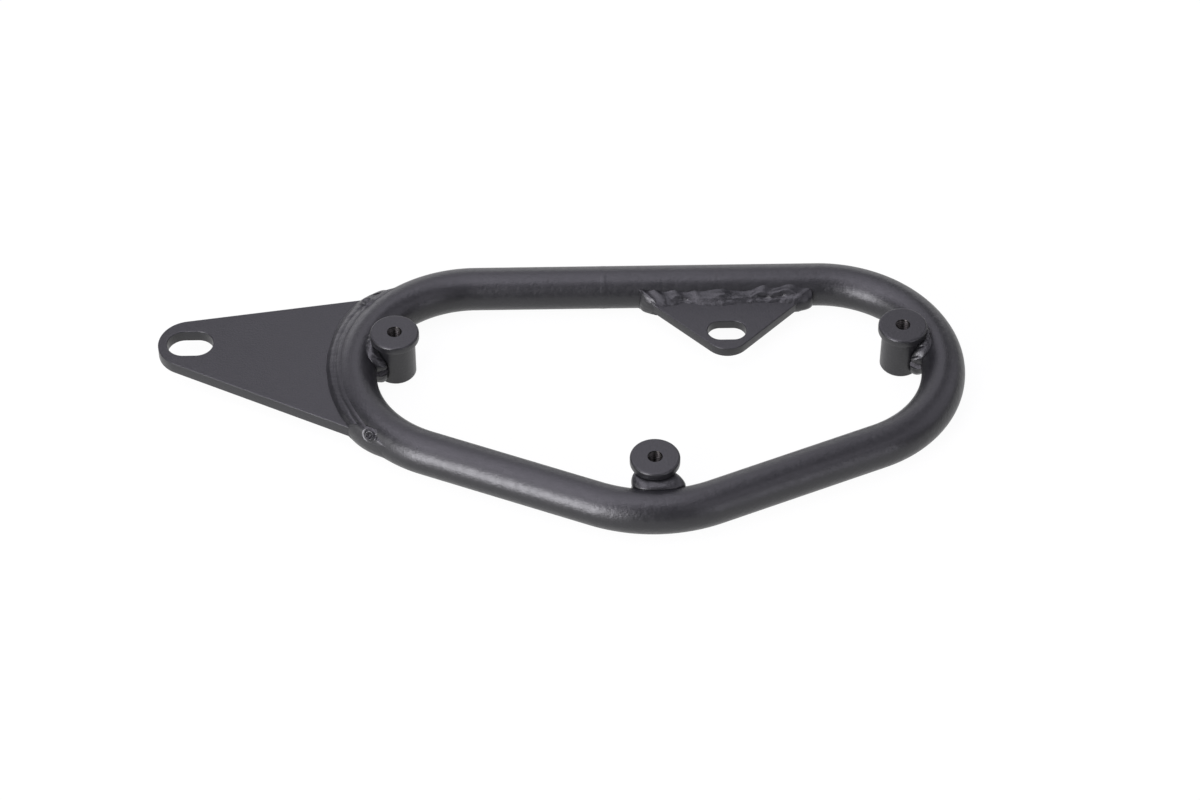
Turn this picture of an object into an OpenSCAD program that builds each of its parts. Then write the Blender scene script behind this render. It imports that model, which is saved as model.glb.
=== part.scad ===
// Side frame for motorbike panniers: a bent tube loop with a slotted side plate,
// a small slotted bracket and three flanged threaded bosses, all welded together.
// Origin: centre of the front boss's seat. The three seats lie in the plane z = 0,
// X runs along the rear straight of the loop and Y points to the rear.

/* [Tube loop] */
// Outside diameter of the tube
tube_d = 16; // [14:0.5:18]
// Wall of the tube
tube_wall = 2; // [1:0.25:3]
// Centreline radius of the left and right bends
side_bend_r = 44; // [42:0.5:50]
// Centreline radius of the front bend
front_bend_r = 54; // [48:0.5:60]
// How far the front bend's centre lies in front of the side bends' centres
bend_drop = 16.8; // [14:0.2:20]
// Place of the butt joint on the rear straight, measured to the left
joint_left = 16; // [8:0.5:24]
// Opening between the tube's ends, which the butt weld fills
joint_gap = 2.4; // [1:0.1:4]
// How far the butt weld stands proud of the tube
joint_crown = 0.15; // [0.05:0.05:0.5]

/* [Bosses] */
// Distance between the left and right boss
boss_span = 187; // [184:0.5:189]
// How far the left and right boss lie behind the front one
boss_row = 64.7; // [62:0.1:67]
// How far the bosses stand proud of the tube
boss_rise = 4; // [3.5:0.25:6]
// Diameter of the flange
flange_d = 18; // [17:0.25:20]
// Thickness of the flange
flange_h = 3; // [2:0.25:3.25]
// Diameter of the stem below the flange
stem_d = 14.8; // [14:0.1:16]
// How deep the stems of the left and right boss are notched to seat on the bends
boss_cope = 2.2; // [0.5:0.1:3]
// Diameter of the hole before its thread is cut
hole_d = 5; // [4:0.1:6.8]
// Width of the chamfer at both mouths of the hole
hole_chamfer = 0.5; // [0.2:0.1:1]
// Rounding of the flange's upper edge
flange_edge_r = 0.8; // [0.3:0.1:1.2]

/* [Side plate] */
// Thickness of the side plate
side_plate_t = 4.8; // [4:0.1:6]
// How far the side plate's slot lies to the left of the left boss
side_slot_out = 75.9; // [68:0.1:84]
// Slot of the side plate, behind the front boss
side_slot_rear = 69.9; // [66:0.1:72]
// Length of the side plate's slot
side_slot_len = 17; // [14:0.1:18]
// Width of the side plate's slot
side_slot_w = 12.4; // [8:0.1:14]
// Radius of the side plate's tip
side_tip_r = 11.9; // [11:0.1:14]
// Angle round the left bend at which the side plate's rear edge meets the tube
side_rear_corner = 133.8; // [128:0.1:138]
// Angle round the left bend at which the side plate's front edge meets the tube
side_front_corner = 217.6; // [210:0.1:221]

/* [Inner bracket] */
// Thickness of the inner bracket
bracket_t = 4; // [3:0.1:5]
// How far the inner bracket lies to the left of the right boss
bracket_in = 64.1; // [58:0.1:72]
// How far the bracket's tip reaches in from the tube
bracket_reach = 27.7; // [24:0.1:34]
// Radius of the bracket's tip
bracket_tip_r = 8.9; // [8.5:0.1:12]
// Slope of the bracket's two sides
bracket_slope = 45.5; // [42:0.5:50]
// Length of the bracket's slot
bracket_slot_len = 14.4; // [12:0.1:15]
// Width of the bracket's slot
bracket_slot_w = 9.6; // [7:0.1:11]
// How far the bracket's slot is set back from the tip's centre
bracket_slot_back = 1; // [0:0.1:3]

/* [Welds] */
// Width of the weld on the side plate
side_weld_leg = 3.2; // [2:0.1:4]
// Angle to which that weld climbs round the tube, from the plate's middle plane
side_weld_climb = 46; // [38:1:54]
// Width of the weld on the inner bracket
bracket_weld_leg = 4; // [3:0.1:5]
// Angle to which that weld climbs round the tube, from the bracket's middle plane
bracket_weld_climb = 35; // [30:1:48]
// Angle to which the boss welds climb round the tube, from the loop's middle plane
boss_weld_climb = 63; // [54:1:70]
// How far the boss welds reach round the stem, to each side
boss_weld_turn = 62; // [45:1:66]
// How far the welds stand proud between their edges
weld_crown = 0.8; // [0.3:0.1:1.2]
// Distance from one ripple of a weld to the next
ripple_pitch = 3.6; // [3:0.1:6]
// Depth of the ripples, as a share of the crown
ripple_depth = 0.45; // [0:0.05:0.8]
// How far the weld runs on past the ends of the side plate
side_end_wrap = 2.6; // [1.5:0.1:4]
// How far the weld runs on past the ends of the inner bracket
bracket_end_wrap = 2.4; // [1.5:0.1:3.5]

/* [Fits] */
// Gap between a cut edge and the tube that it is fitted to
fit_gap = 0.1; // [0.05:0.05:0.3]
// Gap between the front boss's stem and the tube, which its welds close
root_gap = 0.25; // [0.15:0.05:0.5]
// Clearance between a weld and the surfaces that it lies on
seat = 0.05; // [0.04:0.01:0.08]

/* [Hidden] */
$fn = 96;

tube_r = tube_d / 2;
bore_r = tube_r - tube_wall;
stem_r = stem_d / 2;
flange_r = flange_d / 2;
hole_r = hole_d / 2;
boss_h = boss_rise + tube_d;
tube_z = -boss_rise - tube_r;

// The centreline of the loop is a belt round three circles: two side bends and a front bend.
front_y = front_bend_r - (tube_r + root_gap + stem_r);
rear_y = front_y + bend_drop;
boss_inset = side_bend_r - (tube_r + stem_r - boss_cope);
bend_half_span = boss_span / 2 - sqrt(boss_inset * boss_inset - pow(boss_row - rear_y, 2));
left_centre = [-bend_half_span, rear_y];
right_centre = [bend_half_span, rear_y];
front_centre = [0, front_y];
belt_slope = atan2(bend_drop, bend_half_span);
belt_cone = asin((front_bend_r - side_bend_r) / norm(right_centre - front_centre));
contact = 90 - belt_slope - belt_cone;
straight_y = rear_y + side_bend_r;

left_boss_at = [-boss_span / 2, boss_row];
right_boss_at = [boss_span / 2, boss_row];
front_boss_at = [0, 0];

side_slot_at = [left_boss_at.x - side_slot_out, side_slot_rear];
arc_r = side_bend_r + tube_r + fit_gap;
bracket_base_y = straight_y - tube_r - fit_gap;
bracket_tip_at = [
    right_boss_at.x - bracket_in,
    bracket_base_y + fit_gap - bracket_reach + bracket_tip_r,
];

weld_r = tube_r + seat;
flange_under = tube_r + boss_rise - flange_h;
stem_edge = 0.5;
bend_swell = 0.02;
bend_lap = 0.2;
root_w = 0.12;
through = 1;
toe_waist = 0.9;
wrap_lip = 0.3;
wrap_round = 0.8;
wrap_waist = 0.45;
saddle_lip = 0.5;
saddle_run_out = 4;
boss_weld_lean = 45;
steel = "#3b3a3e";

// Small helpers

function dir(a) = [cos(a), sin(a)];
function mix(a, b, s) = a + (b - a) * s;

// Shares from 0 to 1 in the given number of equal steps
function steps(n) = [for (i = [0:n]) i / n];

// Half width of the tube at a height above its middle, with the weld's clearance
function half_width(h) = sqrt(max(0, weld_r * weld_r - h * h));

// Heights above the tube's middle that part the tube's side evenly between two heights
function side_heights(from, to, n) =
    [for (s = [1:n]) weld_r * sin(mix(asin(from / weld_r), asin(to / weld_r), s / n))];

// Height of the weld at a distance along it: a row of overlapping round humps
function ripple(s) =
    let (across = 2 * (s / ripple_pitch - floor(s / ripple_pitch)) - 1)
    1 - ripple_depth * across * across;

// Closed solid through rings of points that all have the same number of points
module skin(rings, flip = false) {
    n = len(rings[0]);
    last = len(rings) - 1;
    sides = [
        for (i = [0:last - 1], j = [0:n - 1])
            let (k = (j + 1) % n)
            each [[i * n + j, i * n + k, (i + 1) * n + k], [i * n + j, (i + 1) * n + k, (i + 1) * n + j]]
    ];
    caps = [
        [for (j = [n - 1:-1:0]) j],
        [for (j = [0:n - 1]) last * n + j],
    ];
    faces = [for (f = concat(sides, caps)) flip ? f : [for (k = [len(f) - 1:-1:0]) f[k]]];
    polyhedron([for (ring = rings) each ring], faces, convexity = 10);
}

// Tube loop

// Ring section of the tube, thicker by a swell on both sides
module wall_section(swell) {
    difference() {
        circle(r = tube_r + swell);
        circle(r = bore_r - swell);
    }
}

module straight_tube(a, b) {
    run = b - a;
    translate([a.x, a.y, tube_z])
        rotate([0, 0, atan2(run.y, run.x)])
            rotate([0, 90, 0])
                linear_extrude(norm(run))
                    wall_section(0);
}

// A bend swells by a hair against the straights and laps over their ends
module bent_tube(centre, bend_r, from, sweep) {
    lap = bend_lap / bend_r * 180 / PI;
    translate([centre.x, centre.y, tube_z])
        rotate([0, 0, from - lap])
            rotate_extrude(angle = sweep + 2 * lap)
                translate([bend_r, 0])
                    wall_section(bend_swell);
}

// The whole loop in one run, open at the butt joint
module loop_tube() {
    color(steel) {
        straight_tube([left_centre.x, straight_y], [-joint_left - joint_gap / 2, straight_y]);
        bent_tube(left_centre, side_bend_r, 90, 90 + contact);
        straight_tube(
            left_centre + side_bend_r * dir(180 + contact),
            front_centre + front_bend_r * dir(180 + contact)
        );
        bent_tube(front_centre, front_bend_r, contact - 180, 180 - 2 * contact);
        straight_tube(
            front_centre + front_bend_r * dir(-contact),
            right_centre + side_bend_r * dir(-contact)
        );
        bent_tube(right_centre, side_bend_r, -contact, 90 + contact);
        straight_tube([right_centre.x, straight_y], [-joint_left + joint_gap / 2, straight_y]);
    }
}

module tube_butt_weld() {
    half = joint_gap / 2;
    color(steel)
        translate([-joint_left, straight_y, tube_z])
            rotate([0, 90, 0])
                rotate_extrude()
                    polygon([
                        [bore_r, -half],
                        [tube_r, -half],
                        [tube_r + joint_crown, -half / 2],
                        [tube_r + joint_crown, half / 2],
                        [tube_r, half],
                        [bore_r, half],
                    ]);
}

// Plates

// Plate with a rounded tip, two straight edges that run to the given ends, and a slot
module slotted_plate(t, tip, r, start_a, end_a, start_b, end_b, slot_at, slot_len, slot_w) {
    half = (slot_len - slot_w) / 2;
    translate([0, 0, tube_z - t / 2])
        difference() {
            union() {
                linear_extrude(t)
                    polygon([start_a, end_a, end_b, start_b]);
                translate(tip)
                    cylinder(h = t, r = r);
            }
            translate([slot_at.x, slot_at.y, -through]) {
                translate([-half, -slot_w / 2, 0])
                    cube([2 * half, slot_w, t + 2 * through]);
                for (side = [-1, 1])
                    translate([side * half, 0, 0])
                        cylinder(h = t + 2 * through, d = slot_w);
            }
        }
}

// Way of the straight edge that leaves a rounded tip as a tangent and meets a given point
function tangent_way(tip, r, end, side) =
    let (run = end - tip)
    atan2(run.y, run.x) + side * (acos(r / norm(run)) - 90);

// Where the straight edges of a rounded tip start: left and right of the way it opens
function edge_start(tip, r, angle, side) = tip + r * dir(angle + side * 90);

side_rear_end = left_centre + arc_r * dir(side_rear_corner);
side_front_end = left_centre + arc_r * dir(side_front_corner);
side_rear_way = tangent_way(side_slot_at, side_tip_r, side_rear_end, 1);
side_front_way = tangent_way(side_slot_at, side_tip_r, side_front_end, -1);
side_start_rear = edge_start(side_slot_at, side_tip_r, side_rear_way, 1);
side_start_front = edge_start(side_slot_at, side_tip_r, side_front_way, -1);

// Point of an edge that lies nearest to the left bend's centre, inside the arc that is cut out
function edge_inside(start, angle) = start + ((left_centre - start) * dir(angle)) * dir(angle);

module side_plate() {
    color(steel)
        difference() {
            slotted_plate(
                side_plate_t,
                side_slot_at,
                side_tip_r,
                side_start_rear,
                edge_inside(side_start_rear, side_rear_way),
                side_start_front,
                edge_inside(side_start_front, side_front_way),
                side_slot_at,
                side_slot_len,
                side_slot_w
            );
            translate([left_centre.x, left_centre.y, tube_z - side_plate_t])
                cylinder(h = 2 * side_plate_t, r = arc_r);
        }
}

bracket_start_left = edge_start(bracket_tip_at, bracket_tip_r, 180 - bracket_slope, 1);
bracket_start_right = edge_start(bracket_tip_at, bracket_tip_r, bracket_slope, -1);

// Point of a bracket edge at a given distance to the rear
function bracket_edge(start, angle, y) = start + (y - start.y) / sin(angle) * dir(angle);

module inner_bracket() {
    color(steel)
        slotted_plate(
            bracket_t,
            bracket_tip_at,
            bracket_tip_r,
            bracket_start_left,
            bracket_edge(bracket_start_left, 180 - bracket_slope, bracket_base_y),
            bracket_start_right,
            bracket_edge(bracket_start_right, bracket_slope, bracket_base_y),
            bracket_tip_at + [0, bracket_slot_back],
            bracket_slot_len,
            bracket_slot_w
        );
}

// Bosses

// Half section of a boss: hole with chamfered mouths, stem, and flange with a rounded edge
module boss_profile() {
    polygon([
        [hole_r, -boss_h + hole_chamfer],
        [hole_r + hole_chamfer, -boss_h],
        [stem_r - stem_edge, -boss_h],
        [stem_r, -boss_h + stem_edge],
        [stem_r, -flange_h],
        [flange_r, -flange_h],
        [flange_r, -flange_edge_r],
        [flange_r - flange_edge_r, 0],
        [hole_r + hole_chamfer, 0],
        [hole_r, -hole_chamfer],
    ]);
    translate([flange_r - flange_edge_r, -flange_edge_r])
        circle(r = flange_edge_r);
}

// Turned boss whose stem is notched where it would cut into the bend it sits in
module boss(at, centre, bend_r) {
    color(steel)
        difference() {
            translate([at.x, at.y, 0])
                rotate_extrude()
                    boss_profile();
            translate([centre.x, centre.y, tube_z])
                rotate_extrude()
                    translate([bend_r, 0])
                        circle(r = tube_r + fit_gap);
        }
}

module left_boss() {
    boss(left_boss_at, left_centre, side_bend_r);
}

module right_boss() {
    boss(right_boss_at, right_centre, side_bend_r);
}

module front_boss() {
    boss(front_boss_at, front_centre, front_bend_r);
}

// Fillet weld in the corner between a plate's face and the tube. A section is a list of
// [distance from the tube's middle line, height above the tube's middle].

function fillet_section(plate_h, leg, climb, swell) =
    let (
        toe = [tube_r + fit_gap + leg * mix(toe_waist, 1, swell), plate_h + seat],
        top_h = weld_r * sin(climb * mix(toe_waist, 1, swell)),
        top = [half_width(top_h), top_h],
        out = [top.y - toe.y, toe.x - top.x] / norm(top - toe),
        crown = [for (s = steps(4)) mix(toe, top, s) + weld_crown * swell * sin(180 * s) * out],
        down = [for (h = side_heights(top_h, plate_h + seat, 4)) [half_width(h), h]]
    )
    concat(crown, down);

// Angle round the left bend at which the plate's rear or front edge, moved out by a distance,
// stands at a distance from the bend's centre
rear_edge_d = (side_start_rear - left_centre) * dir(side_rear_way + 90);
front_edge_d = (side_start_front - left_centre) * dir(side_front_way - 90);
function rear_edge_turn(r, out = 0) = side_rear_way + 90 + acos((rear_edge_d + out) / r);
function front_edge_turn(r, out = 0) = side_front_way + 270 - acos((front_edge_d + out) / r);

side_weld_run = (front_edge_turn(arc_r) - rear_edge_turn(arc_r)) * PI / 180 * arc_r;
side_weld_steps = 4 * round(side_weld_run / ripple_pitch);

module side_plate_weld(side) {
    rings = [
        for (s = steps(side_weld_steps))
            [
                let (swell = ripple(s * side_weld_run))
                for (p = fillet_section(side_plate_t / 2, side_weld_leg, side_weld_climb, swell))
                    let (
                        r = side_bend_r + p.x,
                        turn = mix(rear_edge_turn(r), front_edge_turn(r), s),
                        at = left_centre + r * dir(turn)
                    )
                    [at.x, at.y, tube_z + side * p.y]
            ]
    ];
    color(steel)
        skin(rings, side > 0);
}

module side_plate_weld_top() {
    side_plate_weld(1);
}

module side_plate_weld_under() {
    side_plate_weld(-1);
}

bracket_weld_run = bracket_edge(bracket_start_right, bracket_slope, bracket_base_y).x
    - bracket_edge(bracket_start_left, 180 - bracket_slope, bracket_base_y).x;
bracket_weld_steps = 4 * round(bracket_weld_run / ripple_pitch);

module bracket_weld(side) {
    rings = [
        for (s = steps(bracket_weld_steps))
            [
                let (swell = ripple(s * bracket_weld_run))
                for (p = fillet_section(bracket_t / 2, bracket_weld_leg, bracket_weld_climb, swell))
                    let (
                        y = straight_y - p.x,
                        left = bracket_edge(bracket_start_left, 180 - bracket_slope, y).x,
                        right = bracket_edge(bracket_start_right, bracket_slope, y).x
                    )
                    [mix(left, right, s), y, tube_z + side * p.y]
            ]
    ];
    color(steel)
        skin(rings, side > 0);
}

module bracket_weld_top() {
    bracket_weld(1);
}

module bracket_weld_under() {
    bracket_weld(-1);
}

// Weld that wraps a plate's end: its sections turn from the plate's edge to a plane square to
// the tube. A section is a list of [distance from the tube's middle line, height].

function wrap_section(leg, climb, swell) =
    let (
        top_h = weld_r * sin(climb * mix(wrap_waist, 1, swell)),
        reach = mix(weld_r + wrap_lip, tube_r + fit_gap + leg, swell),
        crown = [
            for (a = [90:-22.5:-67.5])
                [mix(half_width(top_h), reach, pow(max(0, cos(a)), wrap_round)), top_h * sin(a)]
        ],
        tube = [
            for (s = [0:9])
                let (a = mix(-1, 1, s / 10) * asin(top_h / weld_r))
                weld_r * dir(a)
        ]
    )
    concat(crown, tube);

// How far along a wrap each of its sections stands, and how high it swells there
wrap_stations = [for (a = [0:15:75]) [sin(a) / sin(75), cos(a)]];

// Rear and front end of the side plate, where the tube bends. The wrap starts at the plate's
// edge and runs on round the bend. The sections of both ends follow the bend in the same sense.
module side_plate_wrap(onward) {
    toe_r = side_bend_r + weld_r * cos(side_weld_climb);
    toe_turn = onward > 0 ? front_edge_turn(toe_r) : rear_edge_turn(toe_r);
    end_turn = toe_turn + onward * side_end_wrap / toe_r * 180 / PI;
    last = len(wrap_stations) - 1;
    rings = [
        for (i = [0:last])
            [
                let (w = wrap_stations[onward > 0 ? last - i : i])
                for (p = wrap_section(side_weld_leg, side_weld_climb, w.y))
                    let (
                        r = side_bend_r + p.x,
                        edge = onward > 0 ? front_edge_turn(r, seat) : rear_edge_turn(r, seat),
                        at = left_centre + r * dir(mix(edge, end_turn, w.x))
                    )
                    [at.x, at.y, tube_z + p.y]
            ]
    ];
    color(steel)
        skin(rings, true);
}

module side_plate_weld_rear_end() {
    side_plate_wrap(-1);
}

module side_plate_weld_front_end() {
    side_plate_wrap(1);
}

// Place to the rear of a point at a distance inside the loop's middle line. Past the end of
// the straight the middle line follows the bend.
function rear_inside(x, inside) =
    let (past = max(0, abs(x) - bend_half_span))
    rear_y + sqrt(pow(side_bend_r - inside, 2) - past * past);

// Left and right end of the bracket, on the straight and on where it starts to bend
module bracket_wrap(start, angle, out_side) {
    from = start + seat * dir(angle + out_side * 90);
    end_x = bracket_edge(start, angle, bracket_base_y).x - out_side * bracket_end_wrap;
    rings = [
        for (w = wrap_stations)
            [
                for (p = wrap_section(bracket_weld_leg, bracket_weld_climb, w.y))
                    let (x = mix(bracket_edge(from, angle, straight_y - p.x).x, end_x, w.x))
                    [x, rear_inside(x, p.x), tube_z + p.y]
            ]
    ];
    color(steel)
        skin(rings, out_side > 0);
}

module bracket_weld_left_end() {
    bracket_wrap(bracket_start_left, 180 - bracket_slope, 1);
}

module bracket_weld_right_end() {
    bracket_wrap(bracket_start_right, bracket_slope, -1);
}

// Weld in the valley between a boss's stem and the bend beside it. Sections stand in planes
// through the boss's axis. A section is a list of [distance from that axis, height].

// Distance from the boss's axis, at an angle off the way to the tube, to the tube's side at a height
function valley_side(inset, bend_r, turn, h) =
    sqrt(pow(bend_r - half_width(h), 2) - pow(inset * sin(turn), 2)) - inset * cos(turn);

function saddle_section(inset, bend_r, turn, roof, swell) =
    let (
        wall = stem_r + seat,
        wall_c = bend_r - sqrt(inset * inset + wall * wall + 2 * inset * wall * cos(turn)),
        root_c = min(weld_r, wall_c - root_w),
        root_h = sqrt(weld_r * weld_r - root_c * root_c),
        fade = sqrt(1 - pow(turn / (boss_weld_turn + saddle_run_out), 2)),
        top_h = max(root_h + saddle_lip, mix(root_h, weld_r * sin(boss_weld_climb), fade)),
        wall_h = min(roof, mix(root_h + saddle_lip, roof, fade)),
        toe = [valley_side(inset, bend_r, turn, top_h), top_h],
        rise = [wall, wall_h],
        out = dir(boss_weld_lean),
        crown = [
            for (s = steps(5))
                let (p = mix(rise, toe, s) + weld_crown * swell * fade * sin(180 * s) * out)
                [p.x, min(p.y, roof)]
        ],
        down = [for (h = side_heights(top_h, root_h, 6)) [valley_side(inset, bend_r, turn, h), h]]
    )
    concat([[wall, root_h]], crown, down);

saddle_steps = 2 * round(boss_weld_turn / 5);

module saddle_weld(at, centre, bend_r, side) {
    inset = norm(at - centre);
    way = atan2(at.y - centre.y, at.x - centre.x);
    roof = side > 0 ? flange_under - seat : tube_r - 2 * seat;
    rings = [
        for (s = steps(saddle_steps))
            let (turn = mix(-boss_weld_turn, boss_weld_turn, s))
            [
                let (swell = ripple(turn * PI / 180 * stem_r))
                for (p = saddle_section(inset, bend_r, turn, roof, swell))
                    let (q = at + p.x * dir(way + turn))
                    [q.x, q.y, tube_z + side * p.y]
            ]
    ];
    color(steel)
        skin(rings, side < 0);
}

module left_boss_weld_top() {
    saddle_weld(left_boss_at, left_centre, side_bend_r, 1);
}

module left_boss_weld_under() {
    saddle_weld(left_boss_at, left_centre, side_bend_r, -1);
}

module right_boss_weld_top() {
    saddle_weld(right_boss_at, right_centre, side_bend_r, 1);
}

module right_boss_weld_under() {
    saddle_weld(right_boss_at, right_centre, side_bend_r, -1);
}

module front_boss_weld_top() {
    saddle_weld(front_boss_at, front_centre, front_bend_r, 1);
}

module front_boss_weld_under() {
    saddle_weld(front_boss_at, front_centre, front_bend_r, -1);
}

loop_tube();
tube_butt_weld();
side_plate();
inner_bracket();
left_boss();
right_boss();
front_boss();
side_plate_weld_top();
side_plate_weld_under();
side_plate_weld_rear_end();
side_plate_weld_front_end();
bracket_weld_top();
bracket_weld_under();
bracket_weld_left_end();
bracket_weld_right_end();
left_boss_weld_top();
left_boss_weld_under();
right_boss_weld_top();
right_boss_weld_under();
front_boss_weld_top();
front_boss_weld_under();
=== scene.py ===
"""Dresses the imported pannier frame: a bent tube loop with two welded plates and three tapped bosses.

Sizes are in millimetres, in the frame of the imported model: the origin is the centre of the front
boss's seat, X runs along the rear straight and Y to the rear. They become metres only where a mesh,
a lamp or the camera is made.
"""

import sys
import logging
import math
from dataclasses import dataclass, field
from enum import Enum
from typing import Optional, Sequence

import bpy
import numpy as np
from mathutils import Matrix, Vector


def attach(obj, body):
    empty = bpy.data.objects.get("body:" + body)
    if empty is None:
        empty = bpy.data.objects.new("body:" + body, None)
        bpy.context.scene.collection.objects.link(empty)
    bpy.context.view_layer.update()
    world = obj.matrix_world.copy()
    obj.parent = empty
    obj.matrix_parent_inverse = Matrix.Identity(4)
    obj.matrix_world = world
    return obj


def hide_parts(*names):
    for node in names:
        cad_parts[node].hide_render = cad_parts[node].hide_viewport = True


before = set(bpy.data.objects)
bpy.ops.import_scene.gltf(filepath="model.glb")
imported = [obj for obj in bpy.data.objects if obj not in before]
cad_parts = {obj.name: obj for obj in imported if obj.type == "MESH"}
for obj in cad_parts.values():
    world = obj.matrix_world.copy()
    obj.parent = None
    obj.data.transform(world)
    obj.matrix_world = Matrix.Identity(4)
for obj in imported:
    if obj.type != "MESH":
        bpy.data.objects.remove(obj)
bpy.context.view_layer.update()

LOG = logging.getLogger("pannier_frame")
MM = 0.001
Array = np.ndarray

# How far the edges of a weld lie inside the surfaces that it runs out on, in millimetres.
SINK = 0.06
# How deep the hidden roots of the welds' ends lie inside the tube, in millimetres.
ROOT_DEPTH = 3.5
# Edges of a weld that turn more than this stay sharp, in degrees.
WELD_CREASE = 70.0
# Distance that stands for a ray that never meets a line, in millimetres.
FAR = 1e4


# Numbers worked out as whole arrays


def unit(angle: Array) -> Array:
    """Unit vectors in the loop's plane at the given angles, in radians."""
    return np.stack([np.cos(angle), np.sin(angle)], axis=-1)


def ease(x: Array) -> Array:
    """Smooth step: 3x squared less 2x cubed, held at 0 and 1 outside that range."""
    x = np.clip(x, 0.0, 1.0)
    return x * x * (3.0 - 2.0 * x)


def lerp(a: Array, b: Array, share: Array) -> Array:
    """Straight mix from a to b."""
    return a + (b - a) * share


def wander(along: Array, seed: int, pitch: float) -> Array:
    """Smooth random line: random heights a pitch apart, joined by smooth steps.

    Args:
        along: Distances in millimetres.
        seed: Seed of the random heights.
        pitch: Distance between two heights in millimetres.

    Returns:
        Heights between -1 and 1, one for each distance.
    """
    heights = np.random.default_rng(seed).uniform(-1.0, 1.0, 512)
    place = along / pitch + 256.0
    cell = np.floor(place).astype(int)
    return lerp(heights[cell % 512], heights[(cell + 1) % 512], ease(place - cell))


def mottle(along: Array, across: Array, seed: int, pitch: float) -> Array:
    """Smooth random field: random heights on a square grid, joined by smooth steps both ways.

    Args:
        along: Distances one way in millimetres.
        across: Distances the other way in millimetres.
        seed: Seed of the random heights.
        pitch: Width of a grid cell in millimetres.

    Returns:
        Heights between -1 and 1.
    """
    heights = np.random.default_rng(seed).uniform(-1.0, 1.0, (128, 128))
    x, y = along / pitch + 64.0, across / pitch + 64.0
    i, j = np.floor(x).astype(int), np.floor(y).astype(int)
    s, t = ease(x - i), ease(y - j)
    low = lerp(heights[i % 128, j % 128], heights[(i + 1) % 128, j % 128], s)
    high = lerp(heights[i % 128, (j + 1) % 128], heights[(i + 1) % 128, (j + 1) % 128], s)
    return lerp(low, high, t)


def hills(along: Array, across: Array, marks: Sequence[tuple[float, ...]]) -> Array:
    """Sum of round hills and pits, each height times e to the minus squared distance.

    Args:
        along: Distances along the weld in millimetres.
        across: Places across the weld, from 0 to 1.
        marks: For each hill its place along and across, half length, half width and height.

    Returns:
        The summed height in millimetres.
    """
    m = np.asarray(marks, dtype=float)
    ahead = (along[..., None] - m[:, 0]) / m[:, 2]
    aside = (across[..., None] - m[:, 1]) / m[:, 3]
    return (m[:, 4] * np.exp(-(ahead**2 + aside**2))).sum(axis=-1)


def spots(points: Array, marks: Sequence[tuple[float, ...]]) -> Array:
    """Sum of craters, rims and nodules round places in space.

    Each adds its height times e to the minus square of (distance less ring radius) over width.

    Args:
        points: Points of a surface, as rows by columns by 3.
        marks: For each spot its X, Y and Z, the radius of its ring, its width and its height.

    Returns:
        The summed height in millimetres.
    """
    m = np.asarray(marks, dtype=float)
    far = np.linalg.norm(points[..., None, :] - m[:, :3], axis=-1)
    return (m[:, 5] * np.exp(-(((far - m[:, 3]) / m[:, 4]) ** 2))).sum(axis=-1)


def coins(along: Array, across: Array, pitch: float, bow: float) -> Array:
    """Ripples of a weld pool that froze step by step, like a row of coins that fell over.

    A ripple is a round hump 1 - x squared, x from -1 to 1 over a pitch, and its line bows forward
    in the middle of the bead by the given length.

    Args:
        along: Distances along the weld in millimetres.
        across: Places across the weld, from 0 to 1.
        pitch: Distance between two ripples.
        bow: How far a ripple's middle runs ahead of its ends.

    Returns:
        Heights from 0, in the crease, to 1.
    """
    ahead = along - bow * (1.0 - (2.0 * across - 1.0) ** 2)
    x = 2.0 * (ahead / pitch - np.floor(ahead / pitch)) - 1.0
    return 1.0 - x * x


# Meshes


@dataclass
class Skin:
    """Closed surface over a grid of points, whose columns go round and whose rows go along.

    Attributes:
        points: Points in millimetres, as rows by columns by 3.
        ring: Whether the last row joins the first. Otherwise both ends get a fan of triangles.
    """

    points: Array
    ring: bool = False

    def vertices(self) -> Array:
        """The grid's points in one list, with the middle of each end after them.

        Returns:
            Points in millimetres, one in each row.
        """
        flat = self.points.reshape(-1, 3)
        if self.ring:
            return flat
        return np.concatenate([flat, self.points[[0, -1]].mean(axis=1)])

    def corners(self) -> tuple[Array, Array]:
        """Corner indices of all faces and how many corners each face has.

        Returns:
            The flat list of vertex indices, and the number of corners face by face.
        """
        rows, cols = self.points.shape[:2]
        near = np.arange(rows if self.ring else rows - 1)[:, None]
        far = (near + 1) % rows
        here = np.arange(cols)[None, :]
        there = (here + 1) % cols
        quads = np.stack(
            [near * cols + here, far * cols + here, far * cols + there, near * cols + there], axis=-1
        ).reshape(-1, 4)
        if self.ring:
            return quads.ravel(), np.full(len(quads), 4)
        last = (rows - 1) * cols
        first_fan = np.stack([np.full(cols, rows * cols), here[0], there[0]], axis=-1)
        last_fan = np.stack([np.full(cols, rows * cols + 1), last + there[0], last + here[0]], axis=-1)
        fans = np.concatenate([first_fan, last_fan])
        return np.concatenate([quads.ravel(), fans.ravel()]), np.repeat([4, 3], [len(quads), len(fans)])


def enclosed(vertices: Array, corners: Array, counts: Array) -> float:
    """Signed volume: a sixth of the sum of the triple products of each face's triangles.

    Args:
        vertices: Points.
        corners: Vertex indices of all faces.
        counts: Corners of each face, 3 or 4.

    Returns:
        The volume, which is positive where the faces point outwards.
    """
    start = np.cumsum(counts) - counts
    a, b, c = (vertices[corners[start + k]] for k in range(3))
    volume = np.einsum("ij,ij->i", a, np.cross(b, c)).sum()
    quad = start[counts == 4]
    a, c, d = (vertices[corners[quad + k]] for k in (0, 2, 3))
    return float(volume + np.einsum("ij,ij->i", a, np.cross(c, d)).sum()) / 6.0


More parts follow.
